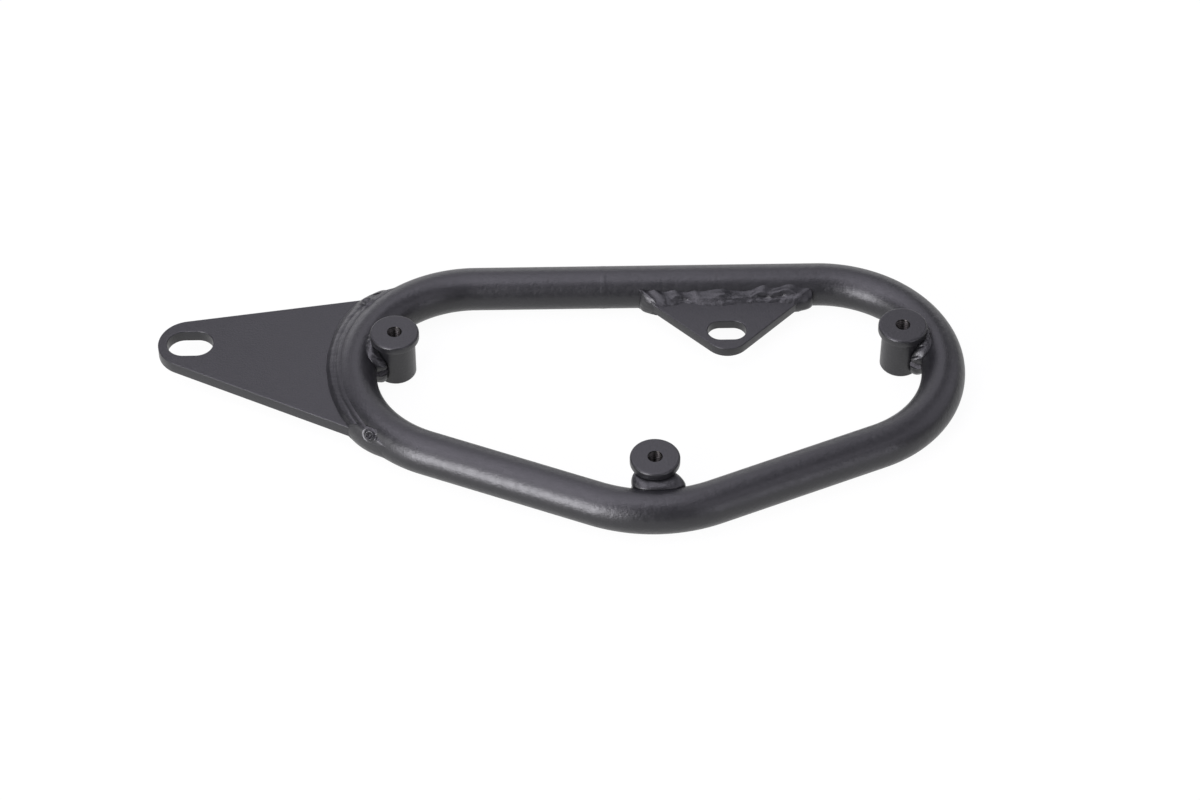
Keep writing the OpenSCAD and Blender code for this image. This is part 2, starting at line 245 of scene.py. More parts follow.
def add_piece(
    name: str,
    skin: Skin,
    node: str,
    materials: Sequence[bpy.types.Material],
    face_material: Optional[Array] = None,
    crease_deg: float = 38.0,
) -> bpy.types.Object:
    """Makes a mesh object that stands for one CAD node.

    Args:
        name: Name of the piece.
        skin: Its surface in millimetres.
        node: The CAD node that it replaces.
        materials: Its materials.
        face_material: Index of the material of each of the grid's rows, if there are several.
        crease_deg: Edges that turn more than this stay sharp.

    Returns:
        The new object, which rides on the root body.
    """
    vertices = skin.vertices()
    corners, counts = skin.corners()
    if enclosed(vertices, corners, counts) < 0.0:
        skin = Skin(skin.points[:, ::-1], skin.ring)
        vertices = skin.vertices()
        corners, counts = skin.corners()
    mesh = bpy.data.meshes.new(name)
    mesh.vertices.add(len(vertices))
    mesh.vertices.foreach_set("co", (vertices * MM).astype(np.float32).ravel())
    mesh.loops.add(len(corners))
    mesh.loops.foreach_set("vertex_index", corners.astype(np.int32))
    mesh.polygons.add(len(counts))
    mesh.polygons.foreach_set("loop_start", (np.cumsum(counts) - counts).astype(np.int32))
    if face_material is not None:
        cols = skin.points.shape[1]
        by_face = np.repeat(face_material, cols)[: int((counts == 4).sum())]
        by_face = np.concatenate([by_face, np.zeros(len(counts) - len(by_face))])
        mesh.polygons.foreach_set("material_index", by_face.astype(np.int32))
    mesh.update(calc_edges=True)
    mesh.validate()
    mesh.shade_smooth()
    mesh.set_sharp_from_angle(angle=math.radians(crease_deg))
    for material in materials:
        mesh.materials.append(material)
    piece = bpy.data.objects.new(name, mesh)
    bpy.context.scene.collection.objects.link(piece)
    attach(piece, "root")
    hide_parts(node)
    LOG.info("%s: %d faces, %.1f mm3", name, len(counts), abs(enclosed(vertices, corners, counts)))
    return piece


def bead(crown: Array, root: Array, lift: Array) -> Array:
    """Rings of points round a weld bead: its crown, lifted along its own normals, and its root.

    The normal is the cross product of the differences along the rows and across the columns,
    turned to point away from the root.

    Args:
        crown: Points of the face that shows, as rows by columns by 3.
        root: Points of each row that lie hidden in the parts it joins.
        lift: Height added to each crown point, in millimetres.

    Returns:
        The points of the closed rings, as rows by columns by 3.
    """
    normal = np.cross(np.gradient(crown, axis=0), np.gradient(crown, axis=1))
    normal /= np.maximum(np.linalg.norm(normal, axis=-1, keepdims=True), 1e-9)
    away = crown - root.mean(axis=1, keepdims=True)
    turn = np.sign(np.median(np.einsum("ijk,ijk->ij", normal, away)))
    return np.concatenate([crown + turn * normal * lift[..., None], root], axis=1)


def add_weld(node: str, part: str, rings: Array, material: bpy.types.Material) -> None:
    """Makes a bead of weld that stands for one CAD node.

    Args:
        node: The CAD node that it replaces.
        part: What kind of weld it is, which ends its name.
        rings: Points of its closed rings, as rows by columns by 3.
        material: Its material.
    """
    add_piece(node + "_" + part, Skin(rings), node, [material], crease_deg=WELD_CREASE)


# Finishes


def linear(hex_colour: str) -> tuple[float, float, float, float]:
    """Turns an sRGB hex colour to the linear values that a shader takes.

    Args:
        hex_colour: Colour as a hash sign and six hex digits.

    Returns:
        Red, green, blue and an alpha of 1.
    """
    parts = np.array([int(hex_colour[i : i + 2], 16) for i in (1, 3, 5)]) / 255.0
    values = np.where(parts <= 0.04045, parts / 12.92, ((parts + 0.055) / 1.055) ** 2.4)
    return (*values.tolist(), 1.0)


def add_node(
    tree: bpy.types.NodeTree, kind: str, settings: Optional[dict] = None, links: Optional[dict] = None
) -> bpy.types.Node:
    """Adds a shader node.

    Args:
        tree: The material's node tree.
        kind: Type name of the node.
        settings: Values by name of an input socket, or by name of a property of the node.
        links: Output sockets by name or number of the input socket that each goes to.

    Returns:
        The new node.
    """
    node = tree.nodes.new(kind)
    for key, value in (settings or {}).items():
        if not isinstance(key, int) and hasattr(node, key):
            setattr(node, key, value)
    for key, value in (settings or {}).items():
        if isinstance(key, int) or not hasattr(node, key):
            node.inputs[key].default_value = value
    for key, socket in (links or {}).items():
        tree.links.new(socket, node.inputs[key])
    return node


def new_material(name: str) -> tuple[bpy.types.Material, bpy.types.NodeTree]:
    """Makes an empty node material.

    Args:
        name: Name of the material.

    Returns:
        The material and its node tree.
    """
    material = bpy.data.materials.new(name)
    material.use_nodes = True
    material.node_tree.nodes.clear()
    return material, material.node_tree


@dataclass(frozen=True)
class PowderCoat:
    """Satin black polyester powder coat on steel.

    The powder is sprayed on dry, clings by its charge and is melted in an oven. It flows out to a
    soft orange peel over two millimetres, which frays the edges of a reflection, and keeps a fine
    satin grain, which spreads it. The film is a plastic, so it isn't metallic. The real relief is
    a few microns high. Peel and grain are drawn deeper than that, so that they show.

    Attributes:
        name: Name of the material.
        deep: Colour where the film is thick.
        thin: Colour where it is thin.
        roughness: Lowest and highest roughness.
        peel_mm: Width of the orange peel.
        peel_depth_mm: Height of the orange peel.
        grain_mm: Width of the satin grain, drawn coarser than the real 0.05 mm so that it shows.
        grain_depth_mm: Height of the satin grain.
        patch_mm: Width of the patches in which colour and gloss change.
    """

    name: str
    deep: str = "#131315"
    thin: str = "#18181a"
    roughness: tuple[float, float] = (0.35, 0.41)
    peel_mm: float = 2.2
    peel_depth_mm: float = 0.090
    grain_mm: float = 0.80
    grain_depth_mm: float = 0.070
    patch_mm: float = 18.0

    def material(self) -> bpy.types.Material:
        """Builds the material: two bumps for peel and grain, and a slow change of colour and gloss.

        The peel's noise lies between 0.3 and 0.7 for the most part, which is stretched over the
        range of the roughness.

        Returns:
            The material.
        """
        material, tree = new_material(self.name)
        place = add_node(tree, "ShaderNodeTexCoord").outputs["Object"]
        patch, peel, grain = (
            add_node(
                tree,
                "ShaderNodeTexNoise",
                {"Scale": 1 / (width * MM), "Detail": detail},
                {"Vector": place},
            )
            for width, detail in ((self.patch_mm, 3.0), (self.peel_mm, 1.0), (self.grain_mm, 2.0))
        )
        colour = add_node(
            tree,
            "ShaderNodeMix",
            {"data_type": "RGBA", 6: linear(self.deep), 7: linear(self.thin)},
            {0: patch.outputs["Fac"]},
        )
        gloss = add_node(
            tree,
            "ShaderNodeMapRange",
            {"From Min": 0.3, "From Max": 0.7, "To Min": self.roughness[0], "To Max": self.roughness[1]},
            {"Value": peel.outputs["Fac"]},
        )
        waves = add_node(
            tree, "ShaderNodeBump", {"Distance": self.peel_depth_mm * MM}, {"Height": peel.outputs["Fac"]}
        )
        satin = add_node(
            tree,
            "ShaderNodeBump",
            {"Distance": self.grain_depth_mm * MM},
            {"Height": grain.outputs["Fac"], "Normal": waves.outputs["Normal"]},
        )
        shader = add_node(
            tree,
            "ShaderNodeBsdfPrincipled",
            {"Metallic": 0.0, "IOR": 1.5},
            {
                "Base Color": colour.outputs[2],
                "Roughness": gloss.outputs["Result"],
                "Normal": satin.outputs["Normal"],
            },
        )
        add_node(tree, "ShaderNodeOutputMaterial", links={"Surface": shader.outputs["BSDF"]})
        return material


@dataclass(frozen=True)
class TappedSteel:
    """Bare mild steel thread, cut with a tap after coating.

    The tap leaves fine rings round the hole and clears the coat, so light glints off the flanks of
    the thread. Both colours are set far darker than cut steel, as painted shade for the inside of
    the hole, and a random mix between them stands for cutting oil and dust.

    Attributes:
        name: Name of the material.
        bright: Colour of clean cut metal, the lighter end of the random mix, set dark as painted shade
            for the hole.
        dull: Colour where cutting oil and dust have stayed, set darker still as painted shade for the
            hole.
        roughness: Roughness of the cut metal.
        stain_mm: Width of the stains and of the torn spots that the tap has left.
        stain_depth_mm: Height of the torn spots.
    """

    name: str
    # Both colours are far darker than cut steel: painted shade for the inside of the hole.
    bright: str = "#4a4846"
    dull: str = "#1a1918"
    roughness: float = 0.34
    stain_mm: float = 1.3
    stain_depth_mm: float = 0.01

    def material(self) -> bpy.types.Material:
        """Builds the material: a metal whose colour changes over a millimetre or so, between two colours
        that are darkened as painted shade for the inside of the hole.

        Returns:
            The material.
        """
        material, tree = new_material(self.name)
        place = add_node(tree, "ShaderNodeTexCoord").outputs["Object"]
        stain = add_node(
            tree,
            "ShaderNodeTexNoise",
            {"Scale": 1 / (self.stain_mm * MM), "Detail": 3.0},
            {"Vector": place},
        )
        colour = add_node(
            tree,
            "ShaderNodeMix",
            {"data_type": "RGBA", 6: linear(self.dull), 7: linear(self.bright)},
            {0: stain.outputs["Fac"]},
        )
        bump = add_node(
            tree,
            "ShaderNodeBump",
            {"Distance": self.stain_depth_mm * MM},
            {"Height": stain.outputs["Fac"]},
        )
        shader = add_node(
            tree,
            "ShaderNodeBsdfPrincipled",
            {"Metallic": 1.0, "Roughness": self.roughness},
            {"Base Color": colour.outputs[2], "Normal": bump.outputs["Normal"]},
        )
        add_node(tree, "ShaderNodeOutputMaterial", links={"Surface": shader.outputs["BSDF"]})
        return material


@dataclass
class Finishes:
    """The finishes of the frame, each made once and shared.

    Attributes:
        tube: Coat on the tube.
        plate: Coat on the plates.
        boss: Coat on the bosses.
        weld: Coat on the weld beads.
        thread: Bare metal of the tapped holes.
    """

    tube: bpy.types.Material = field(
        default_factory=lambda: PowderCoat("satin powder coat on drawn steel tube").material()
    )
    plate: bpy.types.Material = field(
        default_factory=lambda: PowderCoat(
            "satin powder coat on laser-cut steel plate", peel_mm=2.6, peel_depth_mm=0.014
        ).material()
    )
    boss: bpy.types.Material = field(
        default_factory=lambda: PowderCoat(
            "satin powder coat on turned steel", peel_mm=1.8, peel_depth_mm=0.010
        ).material()
    )
    weld: bpy.types.Material = field(
        default_factory=lambda: PowderCoat(
            "satin powder coat on weld bead",
            roughness=(0.32, 0.42),
            peel_mm=0.9,
            peel_depth_mm=0.010,
            patch_mm=6.0,
        ).material()
    )
    thread: bpy.types.Material = field(
        default_factory=lambda: TappedSteel("tapped mild steel thread").material()
    )


# The loop


@dataclass(frozen=True)
class LoopSizes:
    """Sizes of the tube loop and where the bosses stand on it, as in the part's source.

    Attributes:
        tube_d: Outside diameter of the tube.
        tube_wall: Wall of the tube.
        side_bend_r: Middle-line radius of the left and right bend.
        front_bend_r: Middle-line radius of the front bend.
        bend_drop: How far the front bend's centre lies in front of the side bends' centres.
        joint_left: Place of the butt joint on the rear straight, to the left.
        joint_gap: Opening between the tube's ends, which the butt weld fills.
        joint_crown: How far the butt weld would stand proud of the tube before it is ground.
        boss_span: Distance between the left and the right boss.
        boss_row: How far they lie behind the front boss.
        boss_rise: How far the bosses stand proud of the tube.
        stem_d: Diameter of the bosses' stems.
        boss_cope: How deep the stems of the side bosses are notched to sit on the bends.
        root_gap: Opening between the front boss and its bend.
        fit_gap: Opening between the plates and the tube.
    """

    tube_d: float = 16.0
    tube_wall: float = 2.0
    side_bend_r: float = 44.0
    front_bend_r: float = 54.0
    bend_drop: float = 16.8
    joint_left: float = 16.0
    joint_gap: float = 2.4
    joint_crown: float = 0.15
    boss_span: float = 187.0
    boss_row: float = 64.7
    boss_rise: float = 4.0
    stem_d: float = 14.8
    boss_cope: float = 2.2
    root_gap: float = 0.25
    fit_gap: float = 0.1

    @property
    def tube_r(self) -> float:
        """Outside radius of the tube."""
        return self.tube_d / 2

    @property
    def tube_z(self) -> float:
        """Height of the tube's middle line."""
        return -self.boss_rise - self.tube_r

    @property
    def front_centre(self) -> Array:
        """Centre of the front bend."""
        return np.array([0.0, self.front_bend_r - (self.tube_r + self.root_gap + self.stem_d / 2)])

    @property
    def rear_y(self) -> float:
        """Place to the rear of the side bends' centres."""
        return float(self.front_centre[1]) + self.bend_drop

    @property
    def boss_inset(self) -> float:
        """Distance of the left and right boss from the centres of their bends."""
        return self.side_bend_r - (self.tube_r + self.stem_d / 2 - self.boss_cope)

    @property
    def half_span(self) -> float:
        """Half the distance between the centres of the side bends."""
        return self.boss_span / 2 - math.sqrt(self.boss_inset**2 - (self.boss_row - self.rear_y) ** 2)

    @property
    def left_centre(self) -> Array:
        """Centre of the left bend."""
        return np.array([-self.half_span, self.rear_y])

    @property
    def right_centre(self) -> Array:
        """Centre of the right bend."""
        return np.array([self.half_span, self.rear_y])

    @property
    def straight_y(self) -> float:
        """Place to the rear of the rear straight."""
        return self.rear_y + self.side_bend_r

    @property
    def contact(self) -> float:
        """Angle at which the front straights leave the bends.

        Returns:
            The angle in radians.
        """
        run = math.hypot(self.half_span, self.bend_drop)
        slope = math.atan2(self.bend_drop, self.half_span)
        return math.pi / 2 - slope - math.asin((self.front_bend_r - self.side_bend_r) / run)

    def half_width(self, height: Array) -> Array:
        """Half width of the tube at a height above its middle."""
        return np.sqrt(np.maximum(0.0, self.tube_r**2 - height**2))


@dataclass(frozen=True)
class LoopPath:
    """Middle line of the loop, from the butt joint to the left and round to the joint again.

    A stretch of length u and curvature k that starts with heading h ends a chord away: the chord
    is u times sin(ku/2)/(ku/2) long and points at h + ku/2. That holds for straights too.

    Attributes:
        sizes: Sizes of the loop.
    """

    sizes: LoopSizes

    def stretches(self) -> tuple[Array, Array]:
        """Lengths and curvatures of the seven stretches.

        Returns:
            Lengths in millimetres, and curvatures in 1 over millimetres.
        """
        s = self.sizes
        straight = math.sqrt(s.half_span**2 + s.bend_drop**2 - (s.front_bend_r - s.side_bend_r) ** 2)
        side = (math.pi / 2 + s.contact) * s.side_bend_r
        front = (math.pi - 2 * s.contact) * s.front_bend_r
        start, end = s.half_span - s.joint_left, s.half_span + s.joint_left
        k_side, k_front = 1 / s.side_bend_r, 1 / s.front_bend_r
        return (
            np.array([start, side, straight, front, straight, side, end]),
            np.array([0.0, k_side, 0.0, k_front, 0.0, k_side, 0.0]),
        )

    @property
    def length(self) -> float:
        """Length of the whole middle line."""
        return float(self.stretches()[0].sum())

    def at(self, along: Array) -> tuple[Array, Array]:
        """Points and headings at distances along the middle line.

        Args:
            along: Distances from the joint, in millimetres.

        Returns:
            The points in the loop's plane and the headings in radians.
        """
        lengths, curvature = self.stretches()
        chord = lengths * np.sinc(curvature * lengths / 2 / np.pi)
        heading = np.pi + np.cumsum(curvature * lengths) - curvature * lengths
        steps = chord[:, None] * unit(heading + curvature * lengths / 2)
        joint = np.array([-self.sizes.joint_left, self.sizes.straight_y])
        corner = joint + np.cumsum(steps, axis=0) - steps
        ends = np.cumsum(lengths)
        i = np.clip(np.searchsorted(ends, along), 0, len(lengths) - 1)
        u, k = along - (ends - lengths)[i], curvature[i]
        points = corner[i] + (u * np.sinc(k * u / 2 / np.pi))[..., None] * unit(heading[i] + k * u / 2)
        return points, heading[i] + k * u


@dataclass
class TubeLoop:
    """The bent tube and the ring of weld that closes it.

    Attributes:
        sizes: Sizes of the loop.
        finishes: The frame's finishes.
        step: Distance between two sections of the outside.
        bore_step: Distance between two sections of the bore, which is never seen.
        around: Points round a section.
    """

    sizes: LoopSizes
    finishes: Finishes
    step: float = 1.25
    bore_step: float = 6.0
    around: int = 96

    def sections(self, along: Array, radius: float) -> Array:
        """Circles round the middle line: its point plus radius times cosine outwards and sine upwards.

        Args:
            along: Distances along the middle line.
            radius: Radius of the circles.

        Returns:
            Points as rows by columns by 3.
        """
        middle, heading = LoopPath(self.sizes).at(along)
        turn = np.linspace(0, 2 * np.pi, self.around, endpoint=False)
        out = unit(heading - np.pi / 2)
        flat = middle[:, None] + radius * np.cos(turn)[None, :, None] * out[:, None]
        height = np.broadcast_to(self.sizes.tube_z + radius * np.sin(turn), flat.shape[:2])
        return np.concatenate([flat, height[..., None]], axis=-1)

    def build_tube(self) -> None:
        """Builds the tube: out along its outside, back along its bore, closed at both cut ends."""
        s = self.sizes
        start, end = s.joint_gap / 2, LoopPath(s).length - s.joint_gap / 2
        out = np.linspace(start, end, round((end - start) / self.step) + 1)
        back = np.linspace(end, start, round((end - start) / self.bore_step) + 1)
        rows = np.concatenate(
            [self.sections(out, s.tube_r), self.sections(back, s.tube_r - s.tube_wall)]
        )
        add_piece("bent_tube_loop", Skin(rows, ring=True), "loop_tube", [self.finishes.tube])

    def build_joint(self) -> None:
        """Builds the butt weld, ground nearly flush: its crown falls off as 1 - x squared.

        The profile runs along the outside, and back along the bore. Grinding has left between 0.15
        and 0.55 of the crown's height, a share that wanders round the tube.
        """
        s = self.sizes
        share = np.linspace(-1, 1, 13)
        turn = np.linspace(0, 2 * np.pi, self.around, endpoint=False)
        proud = s.joint_crown * (0.35 + 0.2 * wander(turn * s.tube_r, 5, 3.0))
        crown = s.tube_r + proud[None, :] * (1 - share**2)[:, None]
        bore = np.full((2, self.around), s.tube_r - s.tube_wall)
        radius = np.concatenate([crown, bore])
        x = np.concatenate([share, [1, -1]]) * s.joint_gap / 2 - s.joint_left
        rows = np.stack(
            [
                np.broadcast_to(x[:, None], radius.shape),
                s.straight_y + radius * np.cos(turn),
                s.tube_z + radius * np.sin(turn),
            ],
            axis=-1,
        )
        add_piece("butt_weld_ring", Skin(rows, ring=True), "tube_butt_weld", [self.finishes.tube])

    def build(self) -> None:
        """Builds both pieces."""
        self.build_tube()
        self.build_joint()


# Plates


@dataclass
class SlottedPlate:
    """Laser-cut plate with a rounded tip, two straight edges and a slot.

    Its outline is told by rays from the slot's centre. A ray leaves the plate where it leaves
    either the tip's disc or the wedge behind it, whichever is farther.

    Attributes:
        name: Name of the piece.
        node: CAD node that it replaces.
        thick: Thickness.
        tip: Centre of the rounded tip.
        tip_r: Radius of the rounded tip.
        ways: Directions of the left and the right edge, seen from the tip, in radians.
        slot_at: Centre of the slot.
        slot_len: Length of the slot.
        slot_w: Width of the slot.
        edge_r: Rounding of the cut edges under the coat.
    """

    name: str
    node: str
    thick: float
    tip: Array
    tip_r: float
    ways: tuple[float, float]
    slot_at: Array
    slot_len: float
    slot_w: float
    edge_r: float = 0.35

    def far_side(self, ray: Array, inset: float) -> Array:
        """Distance along rays to the side that is fitted to the tube."""
        raise NotImplementedError

    def far_corners(self) -> Array:
        """Corners at the tube, left and right as seen from the tip."""
        raise NotImplementedError

    def starts(self) -> Array:
        """Points at which the straight edges leave the tip, left and right."""
        turn = np.array([self.ways[0] + np.pi / 2, self.ways[1] - np.pi / 2])
        return self.tip + self.tip_r * unit(turn)

    def outline(self, angle: Array, inset: float) -> Array:
        """Distance from the slot's centre to the plate's edge.

        Args:
            angle: Directions of the rays in radians.
            inset: How far inside the real edge the line lies.

        Returns:
            Distances in millimetres.
        """
        ray, offset = unit(angle), self.tip - self.slot_at
        along = ray @ offset
        disc = along + np.sqrt(along**2 - offset @ offset + (self.tip_r - inset) ** 2)
        left, right = self.starts()
        back = unit(np.array((self.ways[0] + self.ways[1]) / 2 + np.pi))
        sides = (
            (unit(np.array(self.ways[0] + np.pi / 2)), left, inset),
            (unit(np.array(self.ways[1] - np.pi / 2)), right, inset),
            (back, left, 0.0),
        )
        wedge = self.far_side(ray, inset)
        for normal, start, inner in sides:
            facing = np.maximum(ray @ normal, 1e-9)
            wedge = np.minimum(wedge, ((start - self.slot_at) @ normal - inner) / facing)
        return np.maximum(disc, wedge)

    def slot(self, angle: Array, grow: float) -> Array:
        """Distance from the slot's centre to its wall.

        A ray meets a straight wall where it is half the width away, or else a round end.

        Args:
            angle: Directions of the rays in radians.
            grow: How far outside the real wall the line lies.

        Returns:
            Distances in millimetres.
        """
        radius, half = self.slot_w / 2 + grow, (self.slot_len - self.slot_w) / 2
        c, s = np.abs(np.cos(angle)), np.abs(np.sin(angle))
        wall = radius / np.maximum(s, 1e-9)
        end = half * c + np.sqrt(radius**2 - (half * s) ** 2)
        return np.where(wall * c <= half, wall, end)

    def rays(self) -> Array:
        """Directions of the rays, even in each of the four stretches between corners.

        Returns:
            Angles in radians, once round.
        """
        left, right = self.starts() - self.slot_at
        far_left, far_right = self.far_corners() - self.slot_at
        turn = np.unwrap([math.atan2(v[1], v[0]) for v in (right, far_right, far_left, left, right)])
        turn[-1] = turn[0] + 2 * np.pi
        counts = (28, 72, 28, 88)
        return np.concatenate(
            [np.linspace(turn[i], turn[i + 1], n, endpoint=False) for i, n in enumerate(counts)]
        )

    def rows(self, middle_z: float) -> Array:
        """Rings of points round the plate's section, from the outer edge over and back by the slot.

        An edge is a quarter circle: inset e(1 - sin a) and depth e(1 - cos a).

        Args:
            middle_z: Height of the plate's middle plane.

        Returns:
            Points as rows by columns by 3.
        """
        angle, e, half = self.rays(), self.edge_r, self.thick / 2
        quarter = np.linspace(0, np.pi / 2, 6)
        inset = np.concatenate([e * (1 - np.sin(quarter)), e * (1 - np.sin(quarter[::-1]))])
        drop = e * (1 - np.cos(quarter))
        height = np.concatenate([half - drop, -half + drop[::-1]])
        outer = np.stack([self.outline(angle, i) for i in inset])
        inner = np.stack([self.slot(angle, i) for i in inset[::-1]])
        support_out, support_in = self.outline(angle, e + 0.4), self.slot(angle, e + 0.4)
        share = np.array([0.0, 0.25, 0.5, 0.75, 1.0])[:, None]
        face = lerp(support_in[None], support_out[None], share)
        reach = np.concatenate([outer, face[::-1], inner, face])
        z = np.concatenate([height, np.full(5, -half), height[::-1], np.full(5, half)])
        flat = self.slot_at + reach[..., None] * unit(angle)[None]
        lift = np.broadcast_to((middle_z + z)[:, None], reach.shape)
        return np.concatenate([flat, lift[..., None]], axis=-1)

    def build(self, sizes: LoopSizes, material: bpy.types.Material) -> None:
        """Builds the plate as one closed ring of sections."""
        add_piece(self.name, Skin(self.rows(sizes.tube_z), ring=True), self.node, [material])


@dataclass
class SidePlateBody(SlottedPlate):
    """Side plate, whose far side is an arc cut to fit the left bend.

    Attributes:
        arc_at: Centre of the arc.
        arc_r: Radius of the arc.
        corners: Angles round the arc's centre of its rear and front corner, in radians.
    """

    arc_at: Array = field(default_factory=lambda: np.zeros(2))
    arc_r: float = 1.0
    corners: tuple[float, float] = (0.0, 0.0)

    def far_side(self, ray: Array, inset: float) -> Array:
        """First distance at which rays meet the arc, or a long way where they miss it.

        Args:
            ray: Directions as unit vectors.
            inset: How far inside the real edge the line lies.

        Returns:
            Distances in millimetres.
        """
        offset = self.arc_at - self.slot_at
        along = ray @ offset
        under = along**2 - offset @ offset + (self.arc_r + inset) ** 2
        return np.where((under > 0) & (along > 0), along - np.sqrt(np.maximum(under, 0)), FAR)

    def far_corners(self) -> Array:
        """Rear and front corner on the arc, which are left and right of the tip's way to the tube."""
        return self.arc_at + self.arc_r * unit(np.array(self.corners))


@dataclass
class BracketBody(SlottedPlate):
    """Inner bracket, whose far side is straight and lies along the rear straight.

    Attributes:
        base_y: Place to the rear of its far side.
    """

    base_y: float = 0.0

    def far_side(self, ray: Array, inset: float) -> Array:
        """Distance at which rays meet the far side, or a long way where they point away from it."""
        reach = (self.base_y - inset - self.slot_at[1]) / np.maximum(ray[..., 1], 1e-9)
        return np.where(ray[..., 1] > 1e-6, reach, FAR)

    def far_corners(self) -> Array:
        """Left and right corner, where the straight edges meet the far side."""
        run = (self.base_y - self.starts()[:, 1]) / np.sin(np.array(self.ways))
        return self.starts() + run[:, None] * unit(np.array(self.ways))


# Welds


class Side(Enum):
    """Upper or lower side of the frame."""

    TOP = 1
    UNDER = -1


@dataclass
class FilletWeld:
    """Fillet bead in the corner between a plate's face and the tube.

    A section runs from the toe on the plate, v = 0, to the toe on the tube, v = 1. It is the
    straight line between the toes plus crown times sine of pi v to the power 0.75, square to it.
    Ripples, hills, pits and fine scale are then added along the surface's own normals.

    Attributes:
        sizes: Sizes of the loop.
        plate_h: Half the thickness of the plate.
        rows: Sections along the weld.
        cols: Points across the part that shows.
    """

    sizes: LoopSizes
    plate_h: float
    rows: int = 320
    cols: int = 36

    def section(self, toe: Array, climb: Array, crown: Array) -> tuple[Array, Array, Array]:
        """Points across the weld as distance from the tube's middle line and height above it.

        Args:
            toe: Distance of the plate's toe from the middle line, one for each row.
            climb: Angle of the tube's toe round the tube in radians, one for each row.
            crown: Height of the bead over the line between its toes, one for each row.

        Returns:
            Distance and height as rows by columns, and the place v of each column.
        """
        v = np.linspace(0, 1, self.cols)[None, :]
        radius = self.sizes.tube_r - SINK
        from_d, from_h = toe[:, None], self.plate_h - SINK
        to_d, to_h = (radius * np.cos(climb))[:, None], (radius * np.sin(climb))[:, None]
        run = np.hypot(to_d - from_d, to_h - from_h)
        bulge = crown[:, None] * np.sin(np.pi * v) ** 0.75
        d = lerp(from_d, to_d, v) + bulge * (to_h - from_h) / run
        h = lerp(from_h, to_h, v) + bulge * (from_d - to_d) / run
        return d, h, np.broadcast_to(v, d.shape)

    def root(self) -> tuple[Array, Array]:
        """Distance and height of the hidden root, in the corner and inside the tube."""
        corner = self.sizes.tube_r + self.sizes.fit_gap / 2
        return np.array([corner - 0.9, corner]), np.array([self.plate_h - 0.2, self.plate_h - 0.3])


@dataclass(frozen=True)
class CornerForm:
    """Form of the lump of weld that closes the two fillets round a plate's corner.

    Attributes:
        seed: Seed of its random relief.
        climb_deg: Angle round the tube at which its widest section starts and ends.
        proud: How far its widest section stands proud of the tube, round the plate's edge.
        run_on: How far it runs on past the corner.
        rough: Height of its random relief.
    """

    seed: int
    climb_deg: float
    proud: float
    run_on: float
    rough: float

    def section(
        self, sizes: LoopSizes, swell: Array, fullness: Array, around: Array
    ) -> tuple[Array, Array]:
        """Half ellipses from the tube's upper side round the plate's edge to its lower side.

        Args:
            sizes: Sizes of the loop.
            swell: How far round the tube each section reaches, from 0 to 1.
            fullness: How far it stands proud of the tube, from 0 to 1.
            around: Way round the section, from a quarter turn down to minus a quarter turn.

        Returns:
            Distance from the tube's middle line and height above it.
        """
        top = (sizes.tube_r - SINK) * np.sin(math.radians(self.climb_deg) * lerp(0.5, 1.0, swell))
        reach = lerp(sizes.tube_r - 0.1, sizes.tube_r + self.proud, fullness)
        share = np.maximum(0, np.cos(around)) ** 0.8
        return lerp(sizes.half_width(top) - SINK, reach, share), top * np.sin(around)


# Side plate's fillets: angles round the left bend, and the distance of the toe on the plate from
# the tube's middle line there, then the same with the angle of the toe round the tube.
SIDE_TOE = ((134, 142, 157, 166, 175, 186, 212, 219), (12.2, 12.4, 11.7, 11.1, 10.6, 10.1, 10.0, 10.6))
SIDE_CLIMB = ((134, 141, 149, 163, 182, 198, 206, 213, 220), (56, 56, 51, 50, 52, 48, 44, 39, 46))
SIDE_SEEDS = {Side.TOP: 11, Side.UNDER: 31}

# The knots, and the places of single blobs and pits in them: X, Y, Z, ring radius, width and height.
REAR_KNOT = CornerForm(seed=51, climb_deg=46, proud=3.4, run_on=0.2, rough=0.10)
FRONT_KNOT = CornerForm(seed=71, climb_deg=50, proud=2.4, run_on=6.6, rough=0.04)
REAR_KNOT_SPOTS = (
    (-104.3, 87.4, -6.7, 0.0, 2.20, 0.50),
    (-104.3, 87.4, -6.7, 2.0, 0.50, 0.45),
    (-104.3, 87.4, -6.7, 0.9, 0.35, -0.35),
    (-106.6, 83.6, -6.6, 0.0, 0.90, -0.35),
    (-107.9, 89.2, -8.7, 0.0, 1.20, 0.35),
)
FRONT_KNOT_SPOTS = (
    (-102.1, 19.2, -7.2, 1.50, 0.42, 0.95),
    (-102.1, 19.2, -7.2, 0.0, 0.85, -1.30),
    (-102.1, 19.2, -7.2, 0.0, 0.30, 0.60),
    (-102.1, 19.2, -7.2, 2.6, 0.45, -0.30),
    (-99.7, 18.8, -7.0, 0.0, 0.80, -1.10),
    (-100.6, 22.0, -5.8, 0.0, 0.80, 0.40),
)


